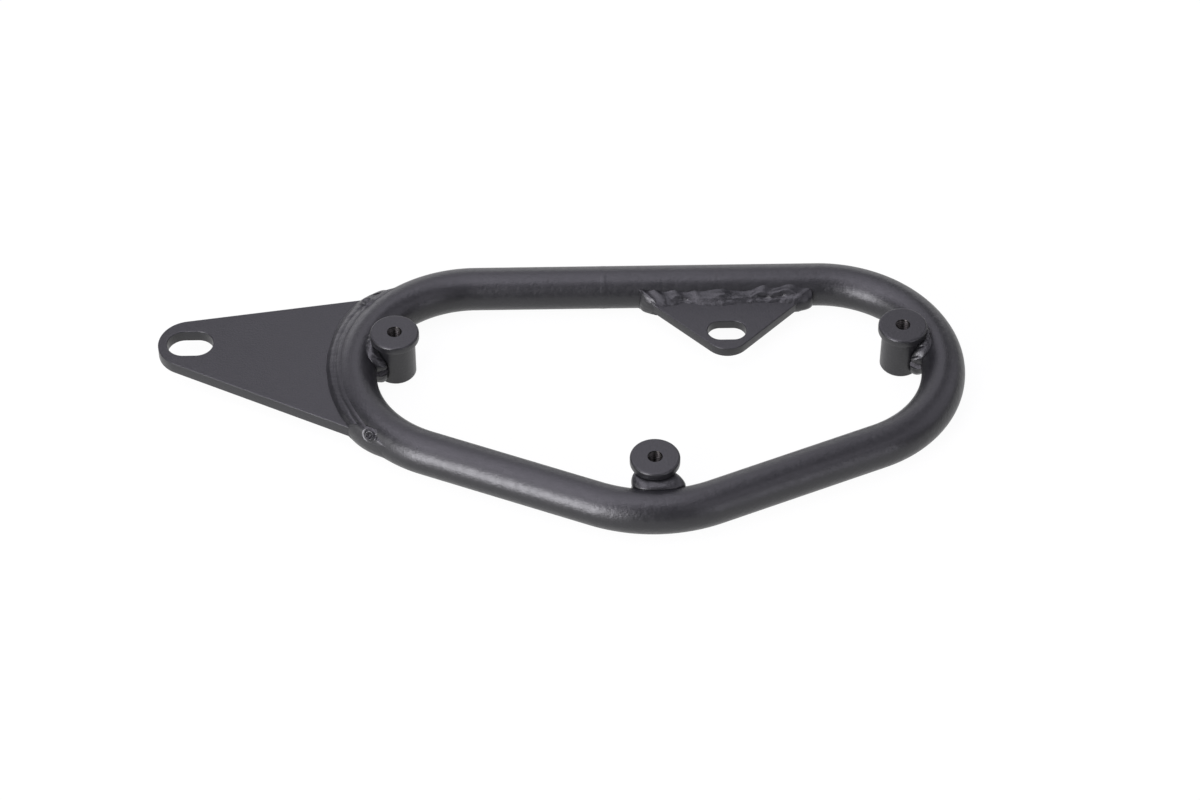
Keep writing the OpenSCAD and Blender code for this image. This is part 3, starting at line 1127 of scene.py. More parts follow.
@dataclass
class SidePlate:
    """Side plate with its welds: two fillets and the knots round its rear and front corner.

    Attributes:
        sizes: Sizes of the loop.
        finishes: The frame's finishes.
        thick: Thickness of the plate.
        slot_left: Slot, left of the front boss.
        slot_rear: Slot, behind the front boss.
        slot_len: Length of the slot.
        slot_w: Width of the slot.
        tip_r: Radius of the tip.
        corners_deg: Angles round the left bend of the rear and front corner.
        pitch: Distance between two ripples of the welds.
        weld_d: Distance of the fillets' middle from the tube's middle line.
        knot_d: Distance of the knots' middle from it.
    """

    sizes: LoopSizes
    finishes: Finishes
    thick: float = 4.8
    slot_left: float = 169.4
    slot_rear: float = 69.9
    slot_len: float = 17.0
    slot_w: float = 12.4
    tip_r: float = 11.9
    corners_deg: tuple[float, float] = (133.8, 217.6)
    pitch: float = 2.3
    weld_d: float = 9.0
    knot_d: float = 5.5

    def body(self) -> SidePlateBody:
        """The plate itself, whose straight edges run as tangents from the tip to the corners.

        Returns:
            The plate's outline and slot.
        """
        s = self.sizes
        tip = np.array([-self.slot_left, self.slot_rear])
        corners = np.radians(self.corners_deg)
        arc_r = s.side_bend_r + s.tube_r + s.fit_gap
        ways = []
        for corner, side in zip(corners, (1, -1)):
            run = s.left_centre + arc_r * unit(np.array(corner)) - tip
            lean = math.acos(self.tip_r / math.hypot(*run)) - math.pi / 2
            ways.append(math.atan2(run[1], run[0]) + side * lean)
        return SidePlateBody(
            name="side_plate_slotted",
            node="side_plate",
            thick=self.thick,
            tip=tip,
            tip_r=self.tip_r,
            ways=(ways[0], ways[1]),
            slot_at=tip,
            slot_len=self.slot_len,
            slot_w=self.slot_w,
            arc_at=s.left_centre,
            arc_r=arc_r,
            corners=(corners[0], corners[1]),
        )

    def edge_turn(self, radius: Array, rear: bool, out: float = 0.0) -> Array:
        """Angle round the left bend at which a straight edge stands at a distance from its centre.

        Args:
            radius: Distances from the bend's centre.
            rear: Whether the rear edge is meant, not the front one.
            out: How far outside the edge.

        Returns:
            Angles in radians.
        """
        body = self.body()
        side = 1.0 if rear else -1.0
        way = body.ways[0] if rear else body.ways[1]
        start = body.starts()[0 if rear else 1]
        far = (start - self.sizes.left_centre) @ unit(np.array(way + side * np.pi / 2)) + out
        across = np.arccos(np.clip(far / radius, -1, 1))
        return way + np.pi / 2 + across if rear else way + 1.5 * np.pi - across

    def place(self, turn: Array, d: Array, h: Array) -> Array:
        """Points at angles round the left bend, distances from its middle line and heights."""
        flat = self.sizes.left_centre + (self.sizes.side_bend_r + d)[..., None] * unit(turn)
        return np.concatenate([flat, (self.sizes.tube_z + h)[..., None]], axis=-1)

    def build_fillet(self, side: Side) -> None:
        """Builds the fillet on one side of the plate.

        The bead is wide at the rear, where it was started, and narrows to the front. A soft ridge
        runs along it with a groove beside it, each e to the minus squared distance from a line
        that wanders, and the ripples are faint because the coat has filled them.

        Args:
            side: Upper or lower side.
        """
        s, seed = self.sizes, SIDE_SEEDS[side]
        weld = FilletWeld(s, self.thick / 2, rows=420)
        share = np.linspace(0, 1, weld.rows)
        radius = s.side_bend_r + self.weld_d
        first, last = (float(self.edge_turn(np.array(radius), rear)) for rear in (True, False))
        turn = np.degrees(lerp(first, last, share))
        along = share * (last - first) * radius
        toe = np.interp(turn, *SIDE_TOE) + 0.16 * wander(along, seed, 4.2)
        climb = np.interp(turn, *SIDE_CLIMB) + 1.2 * wander(along, seed + 1, 4.5)
        crown = 0.62 + 0.12 * wander(along, seed + 2, 8.0)
        d, h, v = weld.section(toe, np.radians(climb), crown)
        s_mm = np.broadcast_to(along[:, None], v.shape)
        fade = np.sin(np.pi * v) ** 0.6
        ridge_v = 0.34 + 0.05 * wander(s_mm, seed + 5, 9.0)
        groove_v = 0.66 + 0.05 * wander(s_mm, seed + 6, 7.0)
        ridge = (0.20 + 0.10 * wander(s_mm, seed + 7, 5.0)) * np.exp(-(((v - ridge_v) / 0.13) ** 2))
        groove = 0.22 * np.exp(-(((v - groove_v) / 0.10) ** 2))
        ripples = coins(s_mm + 0.5 * wander(s_mm, seed + 3, 7.0), v, self.pitch, 1.5) - 0.5
        relief = 0.025 * ripples + 0.06 * mottle(s_mm, 5 * v, seed + 4, 2.8)
        root_d, root_h = weld.root()
        rear, front = (self.edge_turn(s.side_bend_r + d, rear) for rear in (True, False))
        crown_points = self.place(lerp(rear, front, share[:, None]), d, side.value * h)
        rear, front = (self.edge_turn(s.side_bend_r + root_d, rear) for rear in (True, False))
        root_turn = lerp(rear[None], front[None], share[:, None])
        root_points = self.place(
            root_turn,
            np.broadcast_to(root_d[::-1], root_turn.shape),
            side.value * np.broadcast_to(root_h[::-1], root_turn.shape),
        )
        name = "side_plate_weld_" + side.name.lower()
        relief = relief + spots(crown_points, REAR_KNOT_SPOTS)
        rings = bead(crown_points, root_points[:, ::-1], ridge - groove + fade * relief)
        add_weld(name, "bead", rings, self.finishes.weld)

    def build_knot(self, rear: bool) -> None:
        """Builds the knot of weld round the plate's rear or front corner.

        Sections stand square to the tube and go from its upper toe round the plate's edge to the
        lower one. At the rear a section shrinks as the cosine of its way along, to a round end, and
        at the front as a smooth step, to a thin skin that dips into the tube. The welder stopped at
        the front, which has left a crater with a rim and a pit beside it.

        Args:
            rear: Whether the rear corner is meant, not the front one.
        """
        s, form = self.sizes, REAR_KNOT if rear else FRONT_KNOT
        way = np.linspace(0, np.pi / 2, 100)
        share = np.sin(way)[:, None]
        swell = np.cos(way)[:, None] if rear else 1 - ease(share)
        around = np.linspace(np.pi / 2, -np.pi / 2, 140)[None, :]
        d, h = form.section(s, swell, swell, around)
        d = d - 0.2 * share**4
        edge = self.edge_turn(s.side_bend_r + d, rear, -0.6)
        radius = s.side_bend_r + self.knot_d
        onward = (-1.0 if rear else 1.0) * form.run_on / radius
        turn = lerp(edge, float(self.edge_turn(np.array(radius), rear)) + onward, share)
        crown = self.place(turn, d, h)
        s_mm = np.broadcast_to(share * 6.0, d.shape)
        v = np.broadcast_to(around / np.pi + 0.5, d.shape)
        coarse, fine = mottle(s_mm, 12 * v, form.seed, 1.5), mottle(s_mm, 12 * v, form.seed + 1, 0.7)
        marks = spots(crown, REAR_KNOT_SPOTS if rear else FRONT_KNOT_SPOTS)
        lift = np.cos(around) ** 0.5 * (form.rough * (coarse + 0.4 * fine) + marks)
        root_turn = np.concatenate([turn[:, :1], turn[:, -1:]], axis=1)
        deep = np.full(root_turn.shape, s.tube_r - ROOT_DEPTH)
        root = self.place(root_turn, deep, np.zeros(root_turn.shape))
        name = "side_plate_weld_" + ("rear_end" if rear else "front_end")
        rings = bead(crown, root[:, ::-1], lift)
        add_weld(name, "knot", rings, self.finishes.weld)

    def build(self) -> None:
        """Builds the plate and its four welds."""
        self.body().build(self.sizes, self.finishes.plate)
        self.build_fillet(Side.TOP)
        self.build_fillet(Side.UNDER)
        self.build_knot(rear=True)
        self.build_knot(rear=False)


# Bracket's fillets: distances along the weld, and that of the toe on the bracket from the tube's
# middle line there.
BRACKET_TOE = ((0, 8, 13, 20, 27, 33, 39, 51, 58), (13.6, 12.6, 11.3, 12.4, 13.0, 12.4, 11.7, 11.5, 12.6))
# Humps in which the toe on the tube climbs: place along the weld, middle of the weld, half length,
# half width and degrees round the tube.
BRACKET_HUMPS = (
    (0.0, 0.5, 2.4, 1.0, 8.0),
    (5.0, 0.5, 1.7, 1.0, 7.0),
    (11.6, 0.5, 2.0, 1.0, 5.5),
    (19.0, 0.5, 1.5, 1.0, 4.0),
    (27.4, 0.5, 4.4, 1.0, 6.5),
    (42.4, 0.5, 3.2, 1.0, 15.0),
    (51.4, 0.5, 4.4, 1.0, 16.5),
    (59.0, 0.5, 2.2, 1.0, 5.0),
)
# Pits at the foot of the bead and hills on it: place along and across, half length, half width, height.
BRACKET_MARKS = (
    (13.2, 0.25, 2.6, 0.10, -0.55),
    (29.7, 0.30, 1.8, 0.09, -0.35),
    (44.0, 0.30, 2.8, 0.10, -0.65),
    (50.9, 0.32, 1.7, 0.09, -0.55),
    (12.5, 0.52, 3.0, 0.12, 0.35),
    (21.0, 0.50, 2.6, 0.20, 0.25),
    (28.0, 0.66, 4.0, 0.18, 0.28),
    (35.5, 0.45, 2.6, 0.16, 0.30),
    (43.0, 0.62, 3.2, 0.14, 0.32),
    (51.5, 0.66, 4.0, 0.18, 0.32),
    (57.5, 0.45, 3.0, 0.30, 0.45),
)
BRACKET_SEEDS = {Side.TOP: 101, Side.UNDER: 131}
RIGHT_LUMP = CornerForm(seed=171, climb_deg=33, proud=4.6, run_on=2.4, rough=0.10)
LEFT_LUMP = CornerForm(seed=151, climb_deg=39, proud=5.4, run_on=1.0, rough=0.15)


@dataclass
class InnerBracket:
    """Small slotted bracket inside the rear straight, with its welds.

    Attributes:
        sizes: Sizes of the loop.
        finishes: The frame's finishes.
        thick: Thickness of the bracket.
        right: Its middle, right of the front boss.
        reach: How far its tip reaches in from the tube.
        tip_r: Radius of its tip.
        slope_deg: Slope of its two sides.
        slot_len: Length of the slot.
        slot_w: Width of the slot.
        slot_back: How far the slot is set back from the tip's centre.
        weld_y: Place to the rear at which distances along the welds are taken.
    """

    sizes: LoopSizes
    finishes: Finishes
    thick: float = 4.0
    right: float = 29.4
    reach: float = 27.7
    tip_r: float = 8.9
    slope_deg: float = 45.5
    slot_len: float = 14.4
    slot_w: float = 9.6
    slot_back: float = 1.0
    weld_y: float = 90.0

    def body(self) -> BracketBody:
        """The bracket itself.

        Returns:
            The bracket's outline and slot.
        """
        base_y = self.sizes.straight_y - self.sizes.tube_r - self.sizes.fit_gap
        tip = np.array([self.right, base_y + self.sizes.fit_gap - self.reach + self.tip_r])
        slope = math.radians(self.slope_deg)
        return BracketBody(
            name="inner_bracket_slotted",
            node="inner_bracket",
            thick=self.thick,
            tip=tip,
            tip_r=self.tip_r,
            ways=(math.pi - slope, slope),
            slot_at=tip + np.array([0.0, self.slot_back]),
            slot_len=self.slot_len,
            slot_w=self.slot_w,
            base_y=base_y,
        )

    def edge_x(self, y: Array, right: bool, out: float = 0.0) -> Array:
        """Place along X of a straight side, moved out square to it.

        Args:
            y: Places to the rear.
            right: Whether the right side is meant.
            out: How far outside the side.

        Returns:
            Places along X.
        """
        body = self.body()
        start, way = body.starts()[1 if right else 0], body.ways[1 if right else 0]
        side = 1.0 if right else -1.0
        return start[0] + (y - start[1]) / math.tan(way) + side * out / math.sin(way)

    def place(self, x: Array, d: Array, h: Array) -> Array:
        """Points along the rear straight. Past its end the middle line follows the right bend.

        Args:
            x: Places along X.
            d: Distances inside the middle line.
            h: Heights above it.

        Returns:
            Points as rows by columns by 3.
        """
        s = self.sizes
        past = np.maximum(0.0, np.abs(x) - s.half_span)
        y = s.rear_y + np.sqrt((s.side_bend_r - d) ** 2 - past**2)
        return np.stack([x, y, s.tube_z + h], axis=-1)

    def build_fillet(self, side: Side) -> None:
        """Builds the lumpy fillet on one side of the bracket.

        The welder stopped and started several times, so the toe on the tube climbs in humps and
        long narrow pits lie along the foot of the bead.

        Args:
            side: Upper or lower side.
        """
        s, seed = self.sizes, BRACKET_SEEDS[side]
        weld = FilletWeld(s, self.thick / 2, rows=400, cols=40)
        share = np.linspace(0, 1, weld.rows)
        left, right = (float(self.edge_x(np.array(self.weld_y), end)) for end in (False, True))
        along = lerp(left, right, share)
        climb = 29.0 + hills(along, np.full(1, 0.5), BRACKET_HUMPS) + 0.6 * wander(along, seed, 2.4)
        toe = np.interp(along, *BRACKET_TOE) + 0.2 * wander(along, seed + 1, 1.9)
        crown = 0.45 + 0.15 * wander(along, seed + 2, 6.0)
        d, h, v = weld.section(toe, np.radians(climb), crown)
        s_mm = np.broadcast_to(along[:, None], v.shape)
        ripples = coins(s_mm + 0.8 * wander(s_mm, seed + 5, 5.0), v, 3.4, 1.8) - 0.5
        relief = hills(s_mm, v, BRACKET_MARKS) + 0.02 * ripples
        relief = relief + 0.15 * mottle(0.5 * s_mm, 8 * v, seed + 3, 1.8)
        relief = relief + 0.03 * mottle(s_mm, 9 * v, seed + 4, 1.1)
        root_d, root_h = weld.root()
        y = s.straight_y - d
        x = lerp(self.edge_x(y, False), self.edge_x(y, True), share[:, None])
        crown_points = self.place(x, d, side.value * h)
        root_y = s.straight_y - root_d
        root_x = lerp(self.edge_x(root_y, False)[None], self.edge_x(root_y, True)[None], share[:, None])
        root_points = self.place(
            root_x,
            np.broadcast_to(root_d, root_x.shape),
            side.value * np.broadcast_to(root_h, root_x.shape),
        )
        name = "bracket_weld_" + side.name.lower()
        rings = bead(crown_points, root_points, np.sin(np.pi * v) ** 0.5 * relief)
        add_weld(name, "bead", rings, self.finishes.weld)

    def build_lump(self, right: bool) -> None:
        """Builds the lump round the bracket's left or right corner.

        Both shrink as the cosine of their way along, but the left one thins out as 1 - x.

        Args:
            right: Whether the right corner is meant.
        """
        s, form = self.sizes, RIGHT_LUMP if right else LEFT_LUMP
        way = np.linspace(0, np.pi / 2, 60)
        swell, share = np.cos(way)[:, None], np.sin(way)[:, None]
        around = np.linspace(np.pi / 2, -np.pi / 2, 90)[None, :]
        d, h = form.section(s, swell, swell if right else 1 - share, around)
        edge = self.edge_x(s.straight_y - d, right, -0.6)
        corner = float(self.edge_x(np.array(s.straight_y - s.tube_r), right))
        x = lerp(edge, corner + (1.0 if right else -1.0) * form.run_on, share)
        crown = self.place(x, d, h)
        s_mm = np.broadcast_to(share * 4.0, d.shape)
        v = np.broadcast_to(around / np.pi + 0.5, d.shape)
        coarse, fine = mottle(s_mm, 10 * v, form.seed, 1.7), mottle(s_mm, 10 * v, form.seed + 1, 0.8)
        lift = np.cos(around) ** 0.5 * form.rough * (coarse + 0.3 * fine)
        root_x = np.concatenate([x[:, :1], x[:, -1:]], axis=1)
        root = self.place(root_x, np.full(root_x.shape, s.tube_r - ROOT_DEPTH), np.zeros(root_x.shape))
        name = "bracket_weld_" + ("right_end" if right else "left_end")
        rings = bead(crown, root[:, ::-1], lift)
        add_weld(name, "lump", rings, self.finishes.weld)

    def build(self) -> None:
        """Builds the bracket and its four welds."""
        self.body().build(self.sizes, self.finishes.plate)
        self.build_fillet(Side.TOP)
        self.build_fillet(Side.UNDER)
        self.build_lump(right=False)
        self.build_lump(right=True)


# Bosses


class BossPlace(Enum):
    """The three places of the bosses, named as the CAD nodes are."""

    LEFT = "left_boss"
    RIGHT = "right_boss"
    FRONT = "front_boss"


@dataclass(frozen=True)
class SaddleForm:
    """Form of the weld that holds a boss to its bend.

    Attributes:
        wall_ends: Angles off the way to the tube between which it lies on the stem, in degrees.
        toe_ends: Angles between which it lies on the tube, in degrees.
        blunt: Power that shapes its ends, where a higher one is blunter.
        roof: Height of its upper edge on the stem, over the tube's middle line.
        climb_deg: Angle of its toe round the tube.
        bulge: How far it stands over the straight line between its edges.
        power: Power of the sine across it, where a lower one is squarer.
        ripple: Height of its ripples.
        pitch: Distance between two ripples.
        rough: Height of its random relief.
    """

    wall_ends: tuple[float, float]
    toe_ends: tuple[float, float]
    blunt: int
    roof: float
    climb_deg: float
    bulge: float
    power: float
    ripple: float
    pitch: float
    rough: float


SIDE_SADDLE = SaddleForm(
    wall_ends=(-100, 100),
    toe_ends=(-74, 74),
    blunt=6,
    roof=8.9,
    climb_deg=67,
    bulge=1.1,
    power=0.75,
    ripple=0.26,
    pitch=2.4,
    rough=0.11,
)
FRONT_SADDLE = SaddleForm(
    wall_ends=(-80, 74),
    toe_ends=(-50, 60),
    blunt=10,
    roof=8.1,
    climb_deg=62,
    bulge=1.0,
    power=0.45,
    ripple=0.05,
    pitch=3.4,
    rough=0.08,
)
# Upper edge and toe of both kinds on the hidden lower side, where they are flatter.
UNDER_ROOF, UNDER_CLIMB_DEG = 7.0, 54
SADDLE_SEEDS = {BossPlace.LEFT: 201, BossPlace.RIGHT: 231, BossPlace.FRONT: 261}


@dataclass
class Boss:
    """Turned and tapped boss, and the two saddle welds that hold it to a bend.

    Attributes:
        sizes: Sizes of the loop.
        finishes: The frame's finishes.
        spot: Which of the three bosses it is.
        flange_d: Diameter of the flange.
        flange_h: Thickness of the flange.
        lip_r: Rounding of the flange's upper edge.
        minor_r: Radius of the thread's crests, for a thread of 6 mm and 1 mm pitch.
        major_r: Radius of the thread's roots.
        pitch: Pitch of the thread.
        mouth_r: Radius of the countersink at both mouths.
        reach_rad: Angle off the way to the tube within which the stem gives way to it.
        around: Points round the axis.
    """

    sizes: LoopSizes
    finishes: Finishes
    spot: BossPlace
    flange_d: float = 18.0
    flange_h: float = 3.0
    lip_r: float = 0.8
    minor_r: float = 2.5
    major_r: float = 3.0
    pitch: float = 1.0
    mouth_r: float = 2.72
    reach_rad: float = 1.3
    around: int = 96

    @property
    def at(self) -> Array:
        """Place of the axis in the loop's plane."""
        half, row = self.sizes.boss_span / 2, self.sizes.boss_row
        places = {BossPlace.LEFT: (-half, row), BossPlace.RIGHT: (half, row), BossPlace.FRONT: (0.0, 0.0)}
        return np.array(places[self.spot])

    @property
    def bend(self) -> tuple[Array, float]:
        """Centre and radius of the bend that the boss stands in.

        Returns:
            The centre in the loop's plane, and the radius of the middle line.
        """
        s = self.sizes
        return {
            BossPlace.LEFT: (s.left_centre, s.side_bend_r),
            BossPlace.RIGHT: (s.right_centre, s.side_bend_r),
            BossPlace.FRONT: (s.front_centre, s.front_bend_r),
        }[self.spot]

    @property
    def inset(self) -> float:
        """Distance of the axis from the bend's centre."""
        return float(np.hypot(*(self.at - self.bend[0])))

    @property
    def way(self) -> float:
        """Direction from the bend's centre to the axis, and on to the tube, in radians."""
        return math.atan2(*(self.at - self.bend[0])[::-1])

    def tube_side(self, turn: Array, height: Array) -> Array:
        """Distance from the axis to the tube's side.

        It solves the triangle of the bend's centre, the axis and the point on the tube: the root
        of (bend radius less half width) squared less (inset sin turn) squared, less inset cos turn.

        Args:
            turn: Angle off the way to the tube, in radians.
            height: Height above the tube's middle.

        Returns:
            Distances in millimetres.
        """
        side = self.bend[1] - self.sizes.half_width(height)
        ahead, aside = self.inset * np.cos(turn), self.inset * np.sin(turn)
        return np.sqrt(np.maximum(side**2 - aside**2, 0)) - ahead

    def place(self, r: Array, angle: Array, h: Array) -> Array:
        """Points at distances and angles round the axis and heights above the tube's middle."""
        flat = self.at + r[..., None] * unit(angle)
        return np.concatenate([flat, (self.sizes.tube_z + h)[..., None]], axis=-1)

    def profile(self) -> tuple[Array, Array]:
        """Radius and height of the outside, from the countersink's rim over flange, stem and foot.

        Returns:
            Radii and heights below the seat, in millimetres.
        """
        flange, stem = self.flange_d / 2, self.sizes.stem_d / 2
        deep = -(self.sizes.boss_rise + self.sizes.tube_d)
        quarter = np.linspace(np.pi / 2, 0, 9)
        under = np.linspace(0, -np.pi / 2, 4)
        down = np.linspace(-self.flange_h - 0.35, deep + 0.75, 40)
        radius = np.concatenate(
            [
                [self.mouth_r, self.mouth_r + 0.3, 5.5, flange - self.lip_r - 0.3],
                flange - self.lip_r + self.lip_r * np.cos(quarter),
                flange - 0.2 + 0.2 * np.cos(under),
                [stem + 0.35, stem + 0.1],
                np.full(len(down), stem),
                [stem, stem - 0.25, stem - 0.5, stem - 0.8, self.mouth_r + 0.3],
            ]
        )
        height = np.concatenate(
            [
                [0.0, 0.0, 0.0, 0.0],
                -self.lip_r + self.lip_r * np.sin(quarter),
                -self.flange_h + 0.2 + 0.2 * np.sin(under),
                [-self.flange_h, -self.flange_h - 0.1],
                down,
                [deep + 0.5, deep + 0.15, deep, deep, deep],
            ]
        )
        return radius, height

    def build_body(self) -> None:
        """Builds the boss: the outside turned round the axis, and the thread back up the hole.

        The thread's radius is a triangle wave of height over pitch less turn, with flat crests. Over
        the first 0.8 mm it starts from the small chamfer that the coat has half filled. The stem
        gives way where the tube passes through it.
        """
        s = self.sizes
        turn = np.linspace(0, 2 * np.pi, self.around, endpoint=False)[None, :]
        radius, height = self.profile()
        outside = np.broadcast_to(radius[:, None], (len(radius), self.around)).copy()
        below = height < -self.flange_h - 0.05
        lift = (height - s.tube_z)[below][:, None]
        off = np.abs((turn - self.way + np.pi) % (2 * np.pi) - np.pi)
        tube = self.tube_side(np.minimum(off, self.reach_rad), lift)
        clear = np.where(off < self.reach_rad, tube - 0.05, FAR)
        clear = np.where(np.abs(lift) < s.tube_r, clear, FAR)
        outside[below] = np.minimum(outside[below], clear)
        deep = -(s.boss_rise + s.tube_d)
        up = np.linspace(deep, 0.0, 161)
        wave = np.abs(2 * ((up[:, None] / self.pitch - turn / (2 * np.pi)) % 1.0) - 1)
        flank = lerp(self.minor_r, self.major_r, np.clip((wave - 0.12) / 0.76, 0, 1))
        into = np.minimum(-up, up - deep)[:, None]
        inside = lerp(self.mouth_r - 0.4 * into, flank, ease((into - 0.1) / 0.7))
        r = np.concatenate([outside, inside])
        z = np.broadcast_to(np.concatenate([height, up])[:, None], r.shape)
        rows = np.stack([self.at[0] + r * np.cos(turn), self.at[1] + r * np.sin(turn), z], axis=-1)
        material = np.concatenate([np.zeros(len(height)), np.ones(len(up) - 1), [0]])
        add_piece(
            self.spot.value + "_tapped",
            Skin(rows, ring=True),
            self.spot.value,
            [self.finishes.boss, self.finishes.thread],
            face_material=material,
        )

    def build_saddle(self, side: Side) -> None:
        """Builds the weld in the valley between stem and bend, on one side of the frame.

        A section goes from the stem to the toe on the tube. It starts at one angle round the axis
        and ends at another, because the bead reaches farther round the stem than along the tube.
        With x from -1 to 1 along the bead, the section shrinks about its middle as the root of
        1 - x to the sixth or tenth, so both ends are blunt. At the side bosses the upper bead also
        comes down the stem as the cosine of its way round, and joins the lower one in a web.

        Args:
            side: Upper or lower side.
        """
        s, front = self.sizes, self.spot is BossPlace.FRONT
        form, seed = FRONT_SADDLE if front else SIDE_SADDLE, SADDLE_SEEDS[self.spot] + side.value
        roof, climb = (form.roof, form.climb_deg) if side is Side.TOP else (UNDER_ROOF, UNDER_CLIMB_DEG)
        x = 0.998 * np.sin(np.linspace(-np.pi / 2, np.pi / 2, 240))[:, None]
        turn = np.radians(lerp(*form.wall_ends, (x + 1) / 2))
        toe_turn = np.radians(lerp(*form.toe_ends, (x + 1) / 2))
        v = np.linspace(0, 1, 36)[None, :]
        wall = s.stem_d / 2 - SINK
        gap = self.bend[1] - np.sqrt(self.inset**2 + wall**2 + 2 * self.inset * wall * np.cos(turn))
        low = np.sqrt(np.maximum(s.tube_r**2 - np.minimum(gap, s.tube_r - 0.1) ** 2, 0))
        blunt = np.sqrt(1 - x**form.blunt)
        fade = np.maximum(np.cos(turn), 0) ** 0.8 if side is Side.TOP and not front else blunt
        high = s.tube_r * math.sin(math.radians(climb))
        top = np.maximum(low + 0.4, lerp(low, high, np.sqrt(1 - x**4)))
        wall_h = np.minimum(roof, lerp(low + 0.4, roof, fade))
        toe = self.tube_side(toe_turn, top) + SINK
        run = np.hypot(toe - wall, top - wall_h)
        bulge = form.bulge * blunt * np.sin(np.pi * v) ** form.power
        r = lerp(wall, toe, v) + bulge * (wall_h - top) / run
        h = lerp(wall_h, top, v) + bulge * (toe - wall) / run
        along = np.broadcast_to(turn * s.stem_d / 2, r.shape)
        across = np.broadcast_to(v, r.shape)
        ripples = coins(along + 0.3 * wander(along, seed, 3.0), across, form.pitch, 0.7) - 0.5
        relief = form.ripple * ripples + form.rough * mottle(along, 6 * across, seed + 5, 1.8)
        lift = np.sin(np.pi * across) ** 0.5 * blunt * relief
        angle = self.way + lerp(turn, toe_turn, across)
        crown = self.place(r, angle, side.value * h)
        root_r = np.concatenate([toe + 0.8, np.full_like(toe, wall - 0.8)], axis=1)
        root_h = np.maximum(np.concatenate([low, low], axis=1) - 2.2, -0.9)
        root_angle = self.way + np.concatenate([toe_turn, turn], axis=1)
        root = self.place(root_r, root_angle, side.value * root_h)
        name = self.spot.value + "_weld_" + side.name.lower()
        rings = bead(crown, root, lift)
        middle = rings.mean(axis=1, keepdims=True)
        rings = middle + (rings - middle) * blunt[..., None]
        add_weld(name, "saddle", rings, self.finishes.weld)

    def build(self) -> None:
        """Builds the boss and both of its welds."""
        self.build_body()
        self.build_saddle(Side.TOP)
        self.build_saddle(Side.UNDER)


# Studio


@dataclass(frozen=True)
class SoftLamp:
    """Softbox that faces the frame.

    Attributes:
        name: Name of the lamp.
        azimuth: Where it stands round the frame, in degrees from the camera's side to the right.
        elevation: How high it stands, in degrees.
        width: Width in metres.
        height: Height in metres.
        glow: Radiance of its face, where 1 is a white surface in full light.
        tint: Colour of its light.
        distance: Distance from the frame's middle in metres.
    """

    name: str
    azimuth: float
    elevation: float
    width: float
    height: float
    glow: float
    tint: str
    distance: float = 1.2

    def build(self, aim: Vector) -> None:
        """Makes the lamp. Its power is its radiance times pi times its area.

        Args:
            aim: Point in metres that it faces.
        """
        a, e = math.radians(self.azimuth), math.radians(self.elevation)
        back = Vector((math.sin(a) * math.cos(e), -math.cos(a) * math.cos(e), math.sin(e)))
        data = bpy.data.lights.new(self.name, "AREA")
        data.shape = "RECTANGLE"
        data.size, data.size_y = self.width, self.height
        data.energy = self.glow * math.pi * self.width * self.height
        data.color = linear(self.tint)[:3]
        lamp = bpy.data.objects.new(self.name, data)
        lamp.location = aim + back * self.distance
        lamp.rotation_mode = "QUATERNION"
        lamp.rotation_quaternion = back.to_track_quat("Z", "Y")
        bpy.context.scene.collection.objects.link(lamp)


